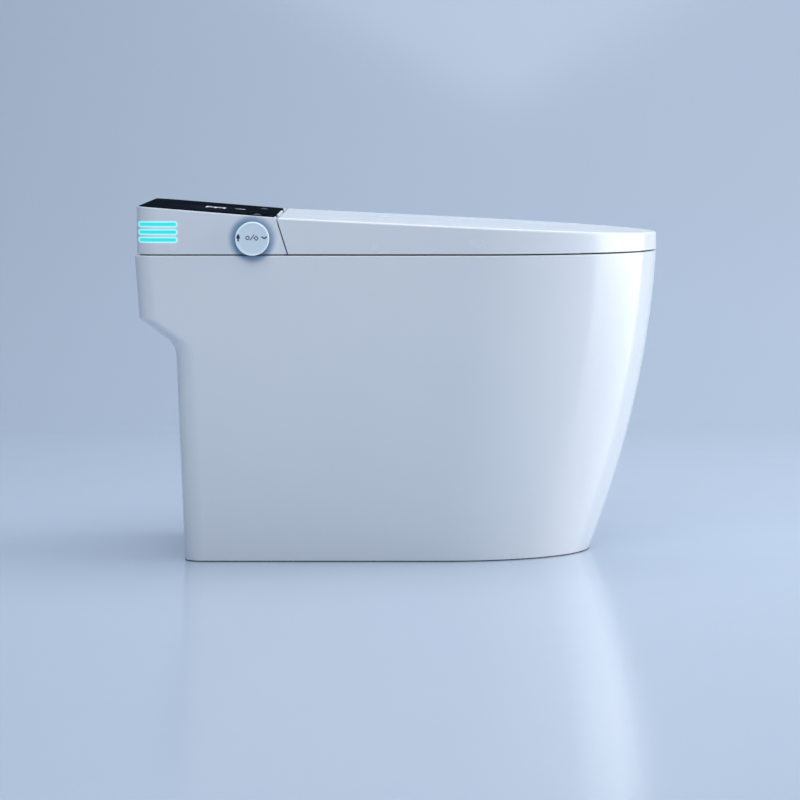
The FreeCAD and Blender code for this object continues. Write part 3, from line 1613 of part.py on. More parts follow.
# ---------------------------------------------------------------- the whole part
parts = {
    "ceramic_body": ceramic_body(),
    "ceramic_overhang": ceramic_overhang(),
    "ceramic_bowl": group([bowl_casting(), well_casting()]),
    "outlet_adapter": outlet_adapter(),
    "outlet_seal": outlet_seal(),
    "flush_tank": flush_tank(),
    "flush_pump": flush_pump(),
    "pump_motor": pump_motor(),
    "flush_hose": flush_hose(),
    "rim_jet": rim_jet(),
    "service_collars": service_collars(),
    "inlet_connector": inlet_connector(),
    "inlet_filter": inlet_filter(),
    "inlet_valve": inlet_valve(),
    "inlet_pipe": inlet_pipe(),
    "cord_gland": cord_gland(),
    "power_supply": power_supply(),
    "base_plate": base_plate(),
    "chassis_bolts": chassis_bolts(),
    "chassis_sleeves": chassis_sleeves(),
    "rear_housing": rear_housing(),
    "top_panel": top_panel(),
    "light_bars": light_bars(),
    "led_board": led_board(),
    "control_board": control_board(),
    "control_knob": control_knob(),
    "knob_stem": knob_stem(),
    "knob_light_ring": knob_light_ring(),
    "knob_encoder": encoder(),
    "hinge_brackets": hinge_brackets(),
    "hinge_shafts": hinge_shafts(),
    "lid_damper": lid_damper(),
    "seat_damper": seat_damper(),
    "lid_shell": lid_shell(),
    "lid_arms": lid_arms(),
    "lid_bumpers": lid_bumpers(),
    "seat_top": seat_top(),
    "seat_base": seat_base(),
    "seat_heater": seat_heater(),
    "seat_bumpers": seat_bumpers(),
    "seat_arms": seat_arms(),
    "nozzle_guide": nozzle_guide(),
    "rear_wand": wand(-1),
    "front_wand": wand(1),
    "rear_nozzle_tip": nozzle_tip(-1),
    "front_nozzle_tip": nozzle_tip(1),
    "rear_pinion": pinion(-1),
    "front_pinion": pinion(1),
    "wand_motors": wand_motors(),
    "water_heater": water_heater(),
    "wash_diverter": wash_diverter(),
    "blower_case": blower_case(),
    "blower_motor": blower_motor(),
    "blower_wheel": blower_wheel(),
    "dryer_duct": dryer_duct(),
    "dryer_flap": dryer_flap(),
    "dryer_element": dryer_element(),
    "filter_cartridge": filter_cartridge(),
    "filter_cradle": filter_cradle(),
    "deodoriser_fan": deodoriser_fan(),
}

os.makedirs("parts", exist_ok=True)
for name, shape in parts.items():
    shape.exportStep("parts/" + name + ".step")
    print(name, len(shape.Solids), "solids", round(shape.Volume / 1000.0, 1), "cm3")
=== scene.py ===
import bpy, bmesh
import json, math
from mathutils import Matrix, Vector


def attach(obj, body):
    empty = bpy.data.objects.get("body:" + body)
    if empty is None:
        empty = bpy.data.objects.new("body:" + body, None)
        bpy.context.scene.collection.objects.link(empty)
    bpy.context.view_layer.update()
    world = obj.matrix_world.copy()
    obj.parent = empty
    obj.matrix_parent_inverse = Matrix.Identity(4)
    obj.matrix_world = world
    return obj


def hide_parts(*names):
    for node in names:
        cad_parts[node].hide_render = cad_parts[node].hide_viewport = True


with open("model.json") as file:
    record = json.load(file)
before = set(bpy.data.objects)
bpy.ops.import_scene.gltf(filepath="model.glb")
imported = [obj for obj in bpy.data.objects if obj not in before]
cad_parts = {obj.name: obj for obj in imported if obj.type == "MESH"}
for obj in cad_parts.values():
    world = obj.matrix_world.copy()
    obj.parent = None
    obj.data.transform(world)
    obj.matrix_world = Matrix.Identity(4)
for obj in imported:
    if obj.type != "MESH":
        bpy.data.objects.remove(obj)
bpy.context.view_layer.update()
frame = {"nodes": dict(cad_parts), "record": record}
nodes = frame["nodes"]


# One material. Its nodes are made by the node method, and Sock values can be added, multiplied and so on.
class Sock:
    def __init__(self, paint, socket):
        self.paint, self.socket = paint, socket

    def __add__(self, other): return self.paint.maths("ADD", self, other)
    def __radd__(self, other): return self.paint.maths("ADD", other, self)
    def __sub__(self, other): return self.paint.maths("SUBTRACT", self, other)
    def __rsub__(self, other): return self.paint.maths("SUBTRACT", other, self)
    def __mul__(self, other): return self.paint.maths("MULTIPLY", self, other)
    def __rmul__(self, other): return self.paint.maths("MULTIPLY", other, self)
    def __truediv__(self, other): return self.paint.maths("DIVIDE", self, other)
    def __rtruediv__(self, other): return self.paint.maths("DIVIDE", other, self)
    def __pow__(self, other): return self.paint.maths("POWER", self, other)
    def __gt__(self, other): return self.paint.maths("GREATER_THAN", self, other)
    def __lt__(self, other): return self.paint.maths("LESS_THAN", self, other)


class Paint:
    def __init__(self, name):
        self.material = bpy.data.materials.new(name)
        self.material.use_nodes = True
        self.tree = self.material.node_tree
        self.shader = self.tree.nodes["Principled BSDF"]
        self.place = self.node("ShaderNodeTexCoord", out="Object")

    def node(self, kind, settings=None, sockets=None, out=0):
        made = self.tree.nodes.new(kind)
        for key, value in (settings or {}).items():
            if key == "stops":
                self.rampStops(made.color_ramp, value)
            else:
                setattr(made, key, value)
        for key, value in (sockets or {}).items():
            self.feed(made.inputs[key], value)
        return Sock(self, made.outputs[out])

    def rampStops(self, ramp, stops):
        while len(ramp.elements) < len(stops):
            ramp.elements.new(1.0)
        for element, (position, colour) in zip(ramp.elements, stops):
            element.position, element.color = position, colour

    def feed(self, socket, value):
        if isinstance(value, Sock):
            self.tree.links.new(value.socket, socket)
        else:
            socket.default_value = value

    def maths(self, operation, *values, clamp=False):
        return self.node("ShaderNodeMath", {"operation": operation, "use_clamp": clamp},
                         dict(enumerate(values)))

    def mix(self, first, second, share):
        return self.node("ShaderNodeMix", {"data_type": "RGBA"}, {0: share, 6: first, 7: second}, 2)

    def stretched(self, factors):
        return self.node("ShaderNodeVectorMath", {"operation": "MULTIPLY"}, {0: self.place, 1: factors})

    def noise(self, scale, detail=3.0, roughness=0.55, stretch=None):
        place = self.stretched(stretch) if stretch else self.place
        return self.node("ShaderNodeTexNoise", None,
                         {"Vector": place, "Scale": scale, "Detail": detail, "Roughness": roughness})

    def axes(self):  # the X, Y and Z of the place on the object
        split = self.node("ShaderNodeSeparateXYZ", None, {0: self.place})
        outs = split.socket.node.outputs
        return [Sock(self, outs[i]) for i in range(3)]

    def between(self, value, low, high, toLow=0.0, toHigh=1.0):  # smooth step
        return self.node("ShaderNodeMapRange", {"interpolation_type": "SMOOTHSTEP"},
                         {0: value, 1: low, 2: high, 3: toLow, 4: toHigh})

    def bump(self, height, strength, distance, normal=None):
        sockets = {"Height": height, "Strength": strength, "Distance": distance}
        if normal:
            sockets["Normal"] = normal
        return self.node("ShaderNodeBump", None, sockets)

    def done(self, **sockets):
        for key, value in sockets.items():
            self.feed(self.shader.inputs[key.replace("_", " ")], value)
        return self.material


def rgba(red, green, blue):
    return (red, green, blue, 1.0)


# The finishes. The painted shade and blue light round the knob are part of two of them.
paintedHaloLook = {"x": -0.0935, "z": 0.4326, "inner": 0.0240, "outer": 0.0345, "wallY": -0.17,
            "colour": rgba(0.12, 0.26, 0.44), "strength": 0.86, "lean": 0.10, "fall": 0.2}


# painted shade and blue light: the soft blue ring that the lit knob throws on what is behind it, deepest at
# the left
def paintedKnobHalo(p, x, y, z):
    across, up = x - paintedHaloLook["x"], z - paintedHaloLook["z"]
    reach = (across * across + up * up) ** 0.5
    lean = (1.0 - paintedHaloLook["lean"]) - (across + up * paintedHaloLook["fall"]) / reach * paintedHaloLook["lean"]
    ring = p.between(reach, paintedHaloLook["inner"], paintedHaloLook["outer"], 1.0, 0.0) * (y < paintedHaloLook["wallY"])
    return ring * lean * paintedHaloLook["strength"]


# the foot colours are painted shade: a dark band where the body meets the floor
ceramicLook = {"white": rgba(0.80, 0.83, 0.87), "shade": rgba(0.77, 0.805, 0.85),
               "foot": rgba(0.045, 0.06, 0.09), "footGrain": rgba(0.07, 0.085, 0.115), "footHeight": 0.0015,
               "roughness": 0.2, "peel": 0.05, "cloud": 2.2, "pores": 420.0, "coat": 0.5}


def glazedCeramic():
    p = Paint("glazed_ceramic")
    x, y, z = p.axes()
    cloud = p.noise(ceramicLook["cloud"], 3.0)
    glaze = p.mix(ceramicLook["white"], ceramicLook["shade"], p.between(cloud, 0.35, 0.65))
    pores = p.noise(ceramicLook["pores"], 2.0)
    footTop = ceramicLook["footHeight"]
    # painted shade: a dark band along the foot, at the gap under the body
    foot = p.between(z + pores * 0.0006, footTop, footTop + 0.0008, 1.0, 0.0)
    # painted shade and blue light round the knob, on the glaze below it
    glaze = p.mix(glaze, paintedHaloLook["colour"], paintedKnobHalo(p, x, y, z))
    colour = p.mix(glaze, p.mix(ceramicLook["foot"], ceramicLook["footGrain"], pores), foot)
    rough = ceramicLook["roughness"] + (p.noise(14.0, 4.0) - 0.5) * 0.06 + foot * 0.5
    peel = p.noise(46.0, 2.0) + p.noise(150.0, 2.0) * 0.25 + pores * foot
    relief = p.bump(peel, ceramicLook["peel"], 0.0006)
    return p.done(Base_Color=colour, Roughness=rough, Normal=relief,
                  Coat_Weight=ceramicLook["coat"], Coat_Roughness=0.06)


barLook = {"top": 0.4512, "pitch": 0.0102, "half": 0.00315, "core": rgba(0.045, 0.66, 0.68),
           "edge": rgba(0.30, 0.93, 0.98), "rear": -0.2435, "front": -0.1925, "count": 3,
           "unlit": rgba(0.01, 0.10, 0.11), "unlitSparkle": rgba(0.02, 0.16, 0.17)}


def barReach(p, x, z):  # how far a point of the wall is outside the nearest bar's edge, negative inside it
    b = barLook
    span = b["pitch"] * (b["count"] - 1) / 2
    up = p.maths("MAXIMUM", p.maths("PINGPONG", z - b["top"], b["pitch"] / 2),
                 p.maths("ABSOLUTE", z - (b["top"] - span)) - span)
    along = p.maths("MAXIMUM", x - (b["front"] - b["half"]), (b["rear"] + b["half"]) - x)
    along = p.maths("MAXIMUM", along, 0.0)
    return (along * along + up * up) ** 0.5 - b["half"]


shellLook = {"white": rgba(0.79, 0.82, 0.865), "shade": rgba(0.765, 0.80, 0.85), "roughness": 0.26,
             "grain": 700.0, "relief": 0.05, "coat": 0.3}
# painted glow: cyan light given off by the housing wall just beside the light bars
paintedBarGlowLook = {"colour": rgba(0.07, 0.43, 0.45), "reach": 0.0020, "wallY": -0.16}


def glossShell(name, withPaintedLight):
    p = Paint(name)
    x, y, z = p.axes()
    colour = p.mix(shellLook["white"], shellLook["shade"], p.between(p.noise(3.0, 2.0), 0.35, 0.65))
    paintedGlow = None
    # painted light on the housing wall: shade and blue light round the knob, and a cyan glow beside the
    # light bars
    if withPaintedLight:
        # painted shade and blue light round the knob
        colour = p.mix(colour, paintedHaloLook["colour"], paintedKnobHalo(p, x, y, z))
        # painted glow beside the light bars
        paintedGlowMask = p.between(barReach(p, x, z), 0.0, paintedBarGlowLook["reach"], 1.0, 0.0) * (y < paintedBarGlowLook["wallY"])
        paintedGlow = p.mix(rgba(0.0, 0.0, 0.0), paintedBarGlowLook["colour"], paintedGlowMask)
    grain = p.noise(shellLook["grain"], 2.0)
    rough = shellLook["roughness"] + (p.noise(22.0, 4.0) - 0.5) * 0.08
    relief = p.bump(grain * 0.4 + p.noise(38.0, 2.0), shellLook["relief"], 0.0005)
    if paintedGlow:
        p.done(Emission_Color=paintedGlow, Emission_Strength=1.0)
    return p.done(Base_Color=colour, Roughness=rough, Normal=relief,
                  Coat_Weight=shellLook["coat"], Coat_Roughness=0.08)


panelLook = {"black": rgba(0.006, 0.009, 0.014), "haze": rgba(0.012, 0.017, 0.025),
             "dust": rgba(0.05, 0.055, 0.06), "dustShare": 0.35, "roughness": 0.16}


def blackGlass():
    p = Paint("black_gloss")
    smudge = p.between(p.noise(9.0, 5.0), 0.45, 0.75)
    dust = p.noise(1400.0, 1.0) > 0.72
    colour = p.mix(panelLook["black"], panelLook["haze"], smudge)
    colour = p.mix(colour, panelLook["dust"], dust * panelLook["dustShare"])
    facing = p.node("ShaderNodeLayerWeight", None, {"Blend": 0.5}, "Facing")
    gloss = p.between(facing, 0.70, 0.95, 1.0, 0.0)
    relief = p.bump(p.noise(60.0, 2.0), 0.02, 0.0004)
    return p.done(Base_Color=colour, Roughness=panelLook["roughness"] + smudge * 0.08, Normal=relief,
                  Coat_Weight=gloss, Coat_Roughness=0.05, Specular_IOR_Level=0.0)


def moulded(name, first, second, roughness, grainScale=900.0, bumpStrength=0.12, coat=0.0, specular=0.5):
    p = Paint(name)
    colour = p.mix(first, second, p.between(p.noise(16.0, 4.0), 0.3, 0.7))
    grain = p.noise(grainScale, 2.0)
    rough = roughness + (p.noise(70.0, 3.0) - 0.5) * 0.12
    relief = p.bump(grain + p.noise(90.0, 2.0) * 0.4, bumpStrength, 0.0004)
    return p.done(Base_Color=colour, Roughness=rough, Normal=relief, Coat_Weight=coat,
                  Specular_IOR_Level=specular)


def brushedMetal(name, first, second, roughness, stretch=(40.0, 40.0, 900.0), bumpStrength=0.15):
    p = Paint(name)
    lines = p.noise(1.0, 3.0, stretch=stretch)
    colour = p.mix(first, second, lines)
    rough = roughness + (lines - 0.5) * 0.25
    relief = p.bump(lines, bumpStrength, 0.0003)
    return p.done(Base_Color=colour, Roughness=rough, Normal=relief, Metallic=1.0)


boardLook = {"mask": rgba(0.01, 0.10, 0.045), "track": rgba(0.03, 0.20, 0.09),
             "pad": rgba(0.55, 0.50, 0.36), "pitch": 0.0016, "trackWidth": 0.0004}


def circuitBoard():
    p = Paint("circuit_board")
    x, y, z = p.axes()
    wander = x + p.noise(60.0, 0.0) * 0.004
    tracks = p.maths("PINGPONG", wander, boardLook["pitch"]) < boardLook["trackWidth"]
    pads = p.node("ShaderNodeTexVoronoi", {"feature": "F1"}, {"Vector": p.place, "Scale": 260.0}) < 0.28
    colour = p.mix(boardLook["mask"], boardLook["track"], tracks)
    colour = p.mix(colour, boardLook["pad"], pads * 0.8)
    return p.done(Base_Color=colour, Roughness=0.35 + pads * 0.1,
                  Normal=p.bump(tracks + pads, 0.2, 0.0003))


matLook = {"foil": rgba(0.62, 0.60, 0.56), "wire": rgba(0.42, 0.17, 0.06), "waves": 160.0, "swing": 0.003,
           "pitch": 0.005, "wireWidth": 0.0009}


def heatingMat():
    p = Paint("heating_mat")
    x, y, z = p.axes()
    wave = y + p.maths("SINE", x * matLook["waves"]) * matLook["swing"]
    wire = p.maths("PINGPONG", wave, matLook["pitch"]) < matLook["wireWidth"]
    colour = p.mix(matLook["foil"], matLook["wire"], wire)
    return p.done(Base_Color=colour, Roughness=0.4 + (p.noise(120.0, 3.0) - 0.5) * 0.2,
                  Metallic=0.6, Normal=p.bump(wire + p.noise(200.0, 2.0) * 0.4, 0.3, 0.0005))


def litBar():
    p = Paint("light_bar")
    x, y, z = p.axes()
    mask = p.between(barReach(p, x, z), -0.0013, -0.0007)
    colour = p.mix(barLook["core"], barLook["edge"], mask)
    sparkle = p.noise(900.0, 2.0)
    return p.done(Base_Color=p.mix(barLook["unlit"], barLook["unlitSparkle"], sparkle),
                  Emission_Color=colour, Emission_Strength=1.0, Roughness=0.32 + (sparkle - 0.5) * 0.1,
                  Normal=p.bump(sparkle, 0.05, 0.0003))


# the rim colour is a painted highlight and the rim's emission a painted glow
knobLook = {"face": rgba(0.75, 0.85, 0.94), "turned": rgba(0.79, 0.88, 0.95), "rim": rgba(0.82, 0.92, 0.96),
            "paintedRimGlow": rgba(0.16, 0.26, 0.34), "rimInner": 0.0192, "rimOuter": 0.0212, "frontY": -0.2015,
            "roughness": 0.34}


def knobFinish():
    p = Paint("knob_white")
    x, y, z = p.axes()
    across, up = x - paintedHaloLook["x"], z - paintedHaloLook["z"]
    reach = (across * across + up * up) ** 0.5
    spin = p.node("ShaderNodeTexNoise", {"noise_dimensions": "1D"},
                  {"W": reach * 9000.0, "Detail": 2.0, "Scale": 1.0})  # fine turned lines
    # painted highlight and glow along the knob's rim
    rim = p.between(reach, knobLook["rimInner"], knobLook["rimOuter"])
    colour = p.mix(p.mix(knobLook["face"], knobLook["turned"], spin), knobLook["rim"], rim)
    rough = knobLook["roughness"] + (spin - 0.5) * 0.12
    paintedEdgeGlow = p.mix(rgba(0.0, 0.0, 0.0), knobLook["paintedRimGlow"], rim * (y < knobLook["frontY"]))
    return p.done(Base_Color=colour, Roughness=rough, Normal=p.bump(spin, 0.04, 0.0002), Coat_Weight=0.25,
                  Emission_Color=paintedEdgeGlow, Emission_Strength=0.5)


ringLook = {"base": rgba(0.12, 0.25, 0.40), "light": rgba(0.10, 0.22, 0.40),
            "bright": rgba(0.14, 0.28, 0.46), "strength": 0.35}


def litRing():
    p = Paint("light_ring")
    x, y, z = p.axes()
    cloud = p.noise(300.0, 2.0)
    light = p.mix(ringLook["light"], ringLook["bright"], cloud)
    return p.done(Base_Color=ringLook["base"], Emission_Color=light,
                  Emission_Strength=ringLook["strength"], Roughness=0.4 + (cloud - 0.5) * 0.1,
                  Normal=p.bump(cloud, 0.05, 0.0003))


finishes = {
    "glazed_ceramic": glazedCeramic(), "white_shell": glossShell("white_shell", True),
    "seat_white": glossShell("seat_white", False), "black_gloss": blackGlass(),
    "knob_white": knobFinish(), "light_bar": litBar(), "light_ring": litRing(),
    "black_arm": moulded("black_arm", rgba(0.012, 0.012, 0.014), rgba(0.022, 0.022, 0.025), 0.35,
                         specular=0.04),
    "black_plastic": moulded("black_plastic", rgba(0.018, 0.018, 0.02), rgba(0.035, 0.035, 0.038), 0.55),
    "grey_plastic": moulded("grey_plastic", rgba(0.42, 0.43, 0.44), rgba(0.50, 0.51, 0.52), 0.5),
    "wand_white": moulded("wand_white", rgba(0.78, 0.78, 0.76), rgba(0.84, 0.84, 0.83), 0.25, coat=0.3),
    "gear_white": moulded("gear_white", rgba(0.72, 0.71, 0.66), rgba(0.80, 0.79, 0.75), 0.5),
    "clear_tank": moulded("clear_tank", rgba(0.55, 0.60, 0.64), rgba(0.66, 0.70, 0.74), 0.42),
    "filter_grey": moulded("filter_grey", rgba(0.74, 0.76, 0.78), rgba(0.80, 0.82, 0.84), 0.4),
    "heating_mat": heatingMat(), "circuit_board": circuitBoard(),
    "rubber_grey": moulded("rubber_grey", rgba(0.34, 0.35, 0.36), rgba(0.42, 0.43, 0.44), 0.8, 500.0, 0.3),
    "rubber_black": moulded("rubber_black", rgba(0.014, 0.014, 0.014), rgba(0.03, 0.03, 0.03), 0.75,
                            500.0, 0.3),
    "hose_rubber": moulded("hose_rubber", rgba(0.20, 0.21, 0.22), rgba(0.30, 0.31, 0.32), 0.6, 400.0, 0.3),
    "motor_steel": brushedMetal("motor_steel", rgba(0.42, 0.43, 0.44), rgba(0.56, 0.57, 0.58), 0.38),
    "steel": brushedMetal("steel", rgba(0.55, 0.56, 0.57), rgba(0.70, 0.71, 0.72), 0.28),
    "brass_fitting": brushedMetal("brass_fitting", rgba(0.62, 0.44, 0.16), rgba(0.74, 0.56, 0.26), 0.30),
}
for row in frame["record"]["subparts"]:
    for materialSlot in nodes[row["node"]].material_slots:
        materialSlot.material = finishes[row["material_slot"]]
print("scene: finishes on", len(nodes), "nodes")


sharpAngle = math.radians(32)  # an edge that turns more than this keeps its line


def makePiece(name, points, faces, finish, body, replaced=(), smooth=True):
    mesh = bpy.data.meshes.new(name)
    mesh.from_pydata([tuple(point) for point in points], [], faces)
    mesh.validate()
    shape = bmesh.new()
    shape.from_mesh(mesh)
    bmesh.ops.remove_doubles(shape, verts=shape.verts, dist=1e-6)
    bmesh.ops.recalc_face_normals(shape, faces=shape.faces)
    for face in shape.faces:
        face.smooth = smooth
    for edge in shape.edges:
        if len(edge.link_faces) == 2 and edge.calc_face_angle(0.0) > sharpAngle:
            edge.smooth = False
    shape.to_mesh(mesh)
    shape.free()
    piece = bpy.data.objects.new(name, mesh)
    bpy.context.scene.collection.objects.link(piece)
    mesh.materials.append(finish)
    if body:
        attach(piece, body)
    if replaced:
        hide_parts(*replaced)
    return piece


def lathe(profile, centre, steps):  # closed profile of (radius, y) turned about an axis along Y
    points, faces = [], []
    for radius, y in profile:
        for i in range(steps):
            turn = 2 * math.pi * i / steps
            points.append((centre[0] + radius * math.cos(turn), y, centre[1] + radius * math.sin(turn)))
    rings = len(profile)
    for j in range(rings):
        for i in range(steps):
            a, b = j * steps + i, j * steps + (i + 1) % steps
            c, d = ((j + 1) % rings) * steps + (i + 1) % steps, ((j + 1) % rings) * steps + i
            faces.append((a, b, c, d))
    return points, faces


# The control knob: a hollow cap with a dished face, a fine raised rim and a soft chamfer.
knobSizes = {"x": -0.0935, "z": 0.4326, "front": -0.2032, "back": -0.1942, "radius": 0.0222,
             "wall": 0.0025, "boss": 0.0055, "bore": 0.00305, "chamfer": 0.0011, "rim": 0.0006,
             "dish": 0.00035, "tip": 0.00001, "edgeSteps": 6, "faceSteps": 8, "turns": 128}


def knobCap():
    s = knobSizes
    front, back, r = s["front"], s["back"], s["radius"]
    profile = [(s["bore"], back), (s["boss"], back), (s["boss"], front + s["wall"]),
               (r - s["wall"] - 0.0006, front + s["wall"]), (r - s["wall"], front + s["wall"] + 0.0006),
               (r - s["wall"], back), (r - 0.0004, back), (r, back + 0.0004)]
    for i in range(s["edgeSteps"] + 1):  # rounded edge
        turn = math.pi / 2 * i / s["edgeSteps"]
        profile.append((r - s["chamfer"] * (1 - math.cos(turn)),
                        front + s["chamfer"] * (1 - math.sin(turn))))
    inner = r - s["chamfer"] - s["rim"]
    profile += [(inner, front), (inner - 0.00015, front + 0.0001)]
    for i in range(1, s["faceSteps"] + 1):
        share = 1 - i / s["faceSteps"]
        profile.append((max(inner * share, s["tip"]), front + 0.0001 + s["dish"] * (1 - share ** 2)))
    profile += [(s["tip"], front + s["wall"] * 0.9), (s["bore"], front + s["wall"] * 0.9)]
    points, faces = lathe(profile, (s["x"], s["z"]), s["turns"])
    return makePiece("knob_cap", points, faces, finishes["knob_white"], "knob",
                     ["control_knob"])


def flatMark(outline, thickness, place):  # outline of (u, v) points, as a thin closed plate
    count = len(outline)
    points = [place(u, v, 0.0) for u, v in outline] + [place(u, v, thickness) for u, v in outline]
    faces = [tuple(range(count)), tuple(reversed(range(count, 2 * count)))]
    faces += [(i, (i + 1) % count, count + (i + 1) % count, count + i) for i in range(count)]
    return points, faces


def ringMark(outer, inner, thickness, place):  # two outlines of equal length, as a thin closed band
    count = len(outer)
    points = []
    for depth in (0.0, thickness):
        points += [place(u, v, depth) for u, v in outer] + [place(u, v, depth) for u, v in inner]
    faces = []
    for i in range(count):
        j = (i + 1) % count
        faces += [(i, j, count + j, count + i), (2 * count + i, 3 * count + i, 3 * count + j, 2 * count + j),
                  (i, 2 * count + i, 2 * count + j, j), (count + i, count + j, 3 * count + j, 3 * count + i)]
    return points, faces


def joined(parts):
    points, faces = [], []
    for morePoints, moreFaces in parts:
        start = len(points)
        points += morePoints
        faces += [tuple(start + i for i in face) for face in moreFaces]
    return points, faces


markSizes = {"figureX": -0.0183, "circleX": -0.0060, "slashX": -0.0001, "diamondX": 0.0053,
             "chevronX": 0.0158, "line": 0.00105, "thickness": 0.00018, "rise": 0.0020}


def markInk():
    p = Paint("mark_ink")
    cloud = p.noise(800.0, 2.0)
    return p.done(Base_Color=p.mix(rgba(0.020, 0.035, 0.065), rgba(0.035, 0.055, 0.09), cloud),
                  Roughness=0.45 + (cloud - 0.5) * 0.1, Normal=p.bump(cloud, 0.05, 0.0002))


def knobMarks():
    s, m = knobSizes, markSizes
    inner = s["radius"] - s["chamfer"] - s["rim"]

    def face(u, v, out):
        share = min(math.hypot(u, v) / inner, 1.0)
        y = s["front"] + 0.0001 + s["dish"] * (1 - share ** 2)
        return (s["x"] + u, y + 0.00006 - out, s["z"] + v)

    def raised(u, v, out):
        return face(u, v + m["rise"], out)

    def oval(cx, cy, rx, ry, count=28):
        return [(cx + rx * math.cos(2 * math.pi * i / count), cy + ry * math.sin(2 * math.pi * i / count))
                for i in range(count)]
    t, w = m["thickness"], m["line"]
    drop = []  # a drop of water over its jet
    for i in range(32):
        turn = 2 * math.pi * i / 32
        wide = 0.0031 * math.sin(turn) * math.sin(turn / 2) ** 1.2
        drop.append((m["figureX"] + wide, 0.0012 + 0.0036 * math.cos(turn)))
    ray = [(m["figureX"] - 0.0009, -0.0052), (m["figureX"] + 0.0009, -0.0052),
           (m["figureX"] + 0.0011, -0.0026), (m["figureX"] - 0.0011, -0.0026)]
    circle = (oval(m["circleX"], -0.0006, 0.0027, 0.0027),
              oval(m["circleX"], -0.0006, 0.0027 - w, 0.0027 - w))
    slash = [(m["slashX"] - 0.0034, -0.0040), (m["slashX"] - 0.0021, -0.0040),
             (m["slashX"] + 0.0034, 0.0036), (m["slashX"] + 0.0021, 0.0036)]
    diamond = []
    for size in (0.0034, 0.0034 - w * 1.35):
        diamond.append([(m["diamondX"] + size, -0.0012), (m["diamondX"], size - 0.0012),
                        (m["diamondX"] - size, -0.0012), (m["diamondX"], -size - 0.0012)])
    c = m["chevronX"]
    chevron = [(c - 0.0038, 0.0016), (c, -0.0005), (c + 0.0038, 0.0016), (c + 0.0038, -0.0001),
               (c, -0.0024), (c - 0.0038, -0.0001)]
    parts = [flatMark(drop, t, raised), flatMark(ray, t, raised), ringMark(*circle, t, raised),
             flatMark(slash, t, raised), ringMark(*diamond, t, raised), flatMark(chevron, t, raised)]
    points, faces = joined(parts)
    return makePiece("knob_marks", points, faces, markInk(), "knob", (), smooth=False)


knobCap()
knobMarks()
print("scene: knob made")


# The display under the black panel: two plain digits, a degree ring and a drop, read from the front.
displaySizes = {"x": -0.1518, "y": 0.012, "tall": 0.024, "wide": 0.015, "step": 0.021, "stroke": 0.0032,
                "thickness": 0.00012, "dropX": -0.1190, "dropHalf": 0.0075, "dropWide": 0.0062,
                "ringOuter": 0.0032, "ringInner": 0.0017, "top": 0.460, "topX": -0.0636, "slope": 0.080472}
displayLook = {"unlit": rgba(0.30, 0.32, 0.38), "light": rgba(0.50, 0.53, 0.66),
               "bright": rgba(0.62, 0.65, 0.76), "strength": 0.9}
segments = {"3": "abgcd", "8": "abcdefg"}


def displayLight():
    p = Paint("display_light")
    cloud = p.noise(500.0, 2.0)
    light = p.mix(displayLook["light"], displayLook["bright"], cloud)
    return p.done(Base_Color=displayLook["unlit"], Emission_Color=light,
                  Emission_Strength=displayLook["strength"],
                  Roughness=0.4 + (cloud - 0.5) * 0.1, Normal=p.bump(cloud, 0.05, 0.0002))


def panelDisplay():
    d = displaySizes

    def onPanel(across, up, out):  # across runs to the reader's right (+Y), up is away from the reader (-X)
        x = -up
        return (x, across, d["top"] + d["slope"] * (d["topX"] - x) + 0.00004 + out)

    t, k = d["thickness"], d["stroke"] / 2
    parts = []
    for place, figure in enumerate("38"):
        left = d["y"] - d["step"] + place * d["step"] - d["wide"] / 2
        low, high = -d["x"] - d["tall"] / 2, -d["x"] + d["tall"] / 2
        middle, right = (low + high) / 2, left + d["wide"]
        lines = {"a": (left, high, right, high), "b": (right, middle, right, high),
                 "c": (right, low, right, middle), "d": (left, low, right, low),
                 "e": (left, low, left, middle), "f": (left, middle, left, high),
                 "g": (left, middle, right, middle)}
        for segment in segments[figure]:
            x0, y0, x1, y1 = lines[segment]
            gap = k * 1.25
            if y0 == y1:
                outline = [(x0 + gap - k, y0), (x0 + gap, y0 - k), (x1 - gap, y0 - k), (x1 - gap + k, y0),
                           (x1 - gap, y0 + k), (x0 + gap, y0 + k)]
            else:
                outline = [(x0, y0 + gap - k), (x0 + k, y0 + gap), (x0 + k, y1 - gap), (x0, y1 - gap + k),
                           (x0 - k, y1 - gap), (x0 - k, y0 + gap)]
            parts.append(flatMark(outline, t, onPanel))
    ring = d["y"] + d["step"] * 0.72, -d["x"] + d["tall"] / 2 - 0.002
    turns = [2 * math.pi * i / 24 for i in range(24)]
    outlines = [[(ring[0] + radius * math.cos(a), ring[1] + radius * math.sin(a)) for a in turns]
                for radius in (d["ringOuter"], d["ringInner"])]
    parts.append(ringMark(*outlines, t, onPanel))
    drop = []
    for i in range(36):
        turn = 2 * math.pi * i / 36
        wide = d["dropWide"] * math.sin(turn) * math.sin(turn / 2) ** 1.2
        drop.append((d["y"] + wide, -d["dropX"] + d["dropHalf"] * math.cos(turn)))
    parts.append(flatMark(drop, t, onPanel))
    points, faces = joined(parts)
    return makePiece("panel_display", points, faces, displayLight(), "root", (), smooth=False)


panelDisplay()
print("scene: display made")

# The light bars: slim lenses with round ends, let into the wall and bent round the rear corner.
barSizes = {"half": 0.00314, "depth": 0.0029, "dome": 0.00025, "columns": 72, "rows": 10,
            "wallY": -0.1915, "cornerX": -0.222, "cornerRadius": 0.025}


def wallPoint(x, out):  # place on the housing wall at X, moved out of it
    s = barSizes
    if x >= s["cornerX"]:
        return x, s["wallY"] - out
    sine = min((s["cornerX"] - x) / s["cornerRadius"], 1.0)
    cosine = math.sqrt(1 - sine * sine)
    reach = s["cornerRadius"] + out
    return s["cornerX"] - reach * sine, s["wallY"] + s["cornerRadius"] - reach * cosine


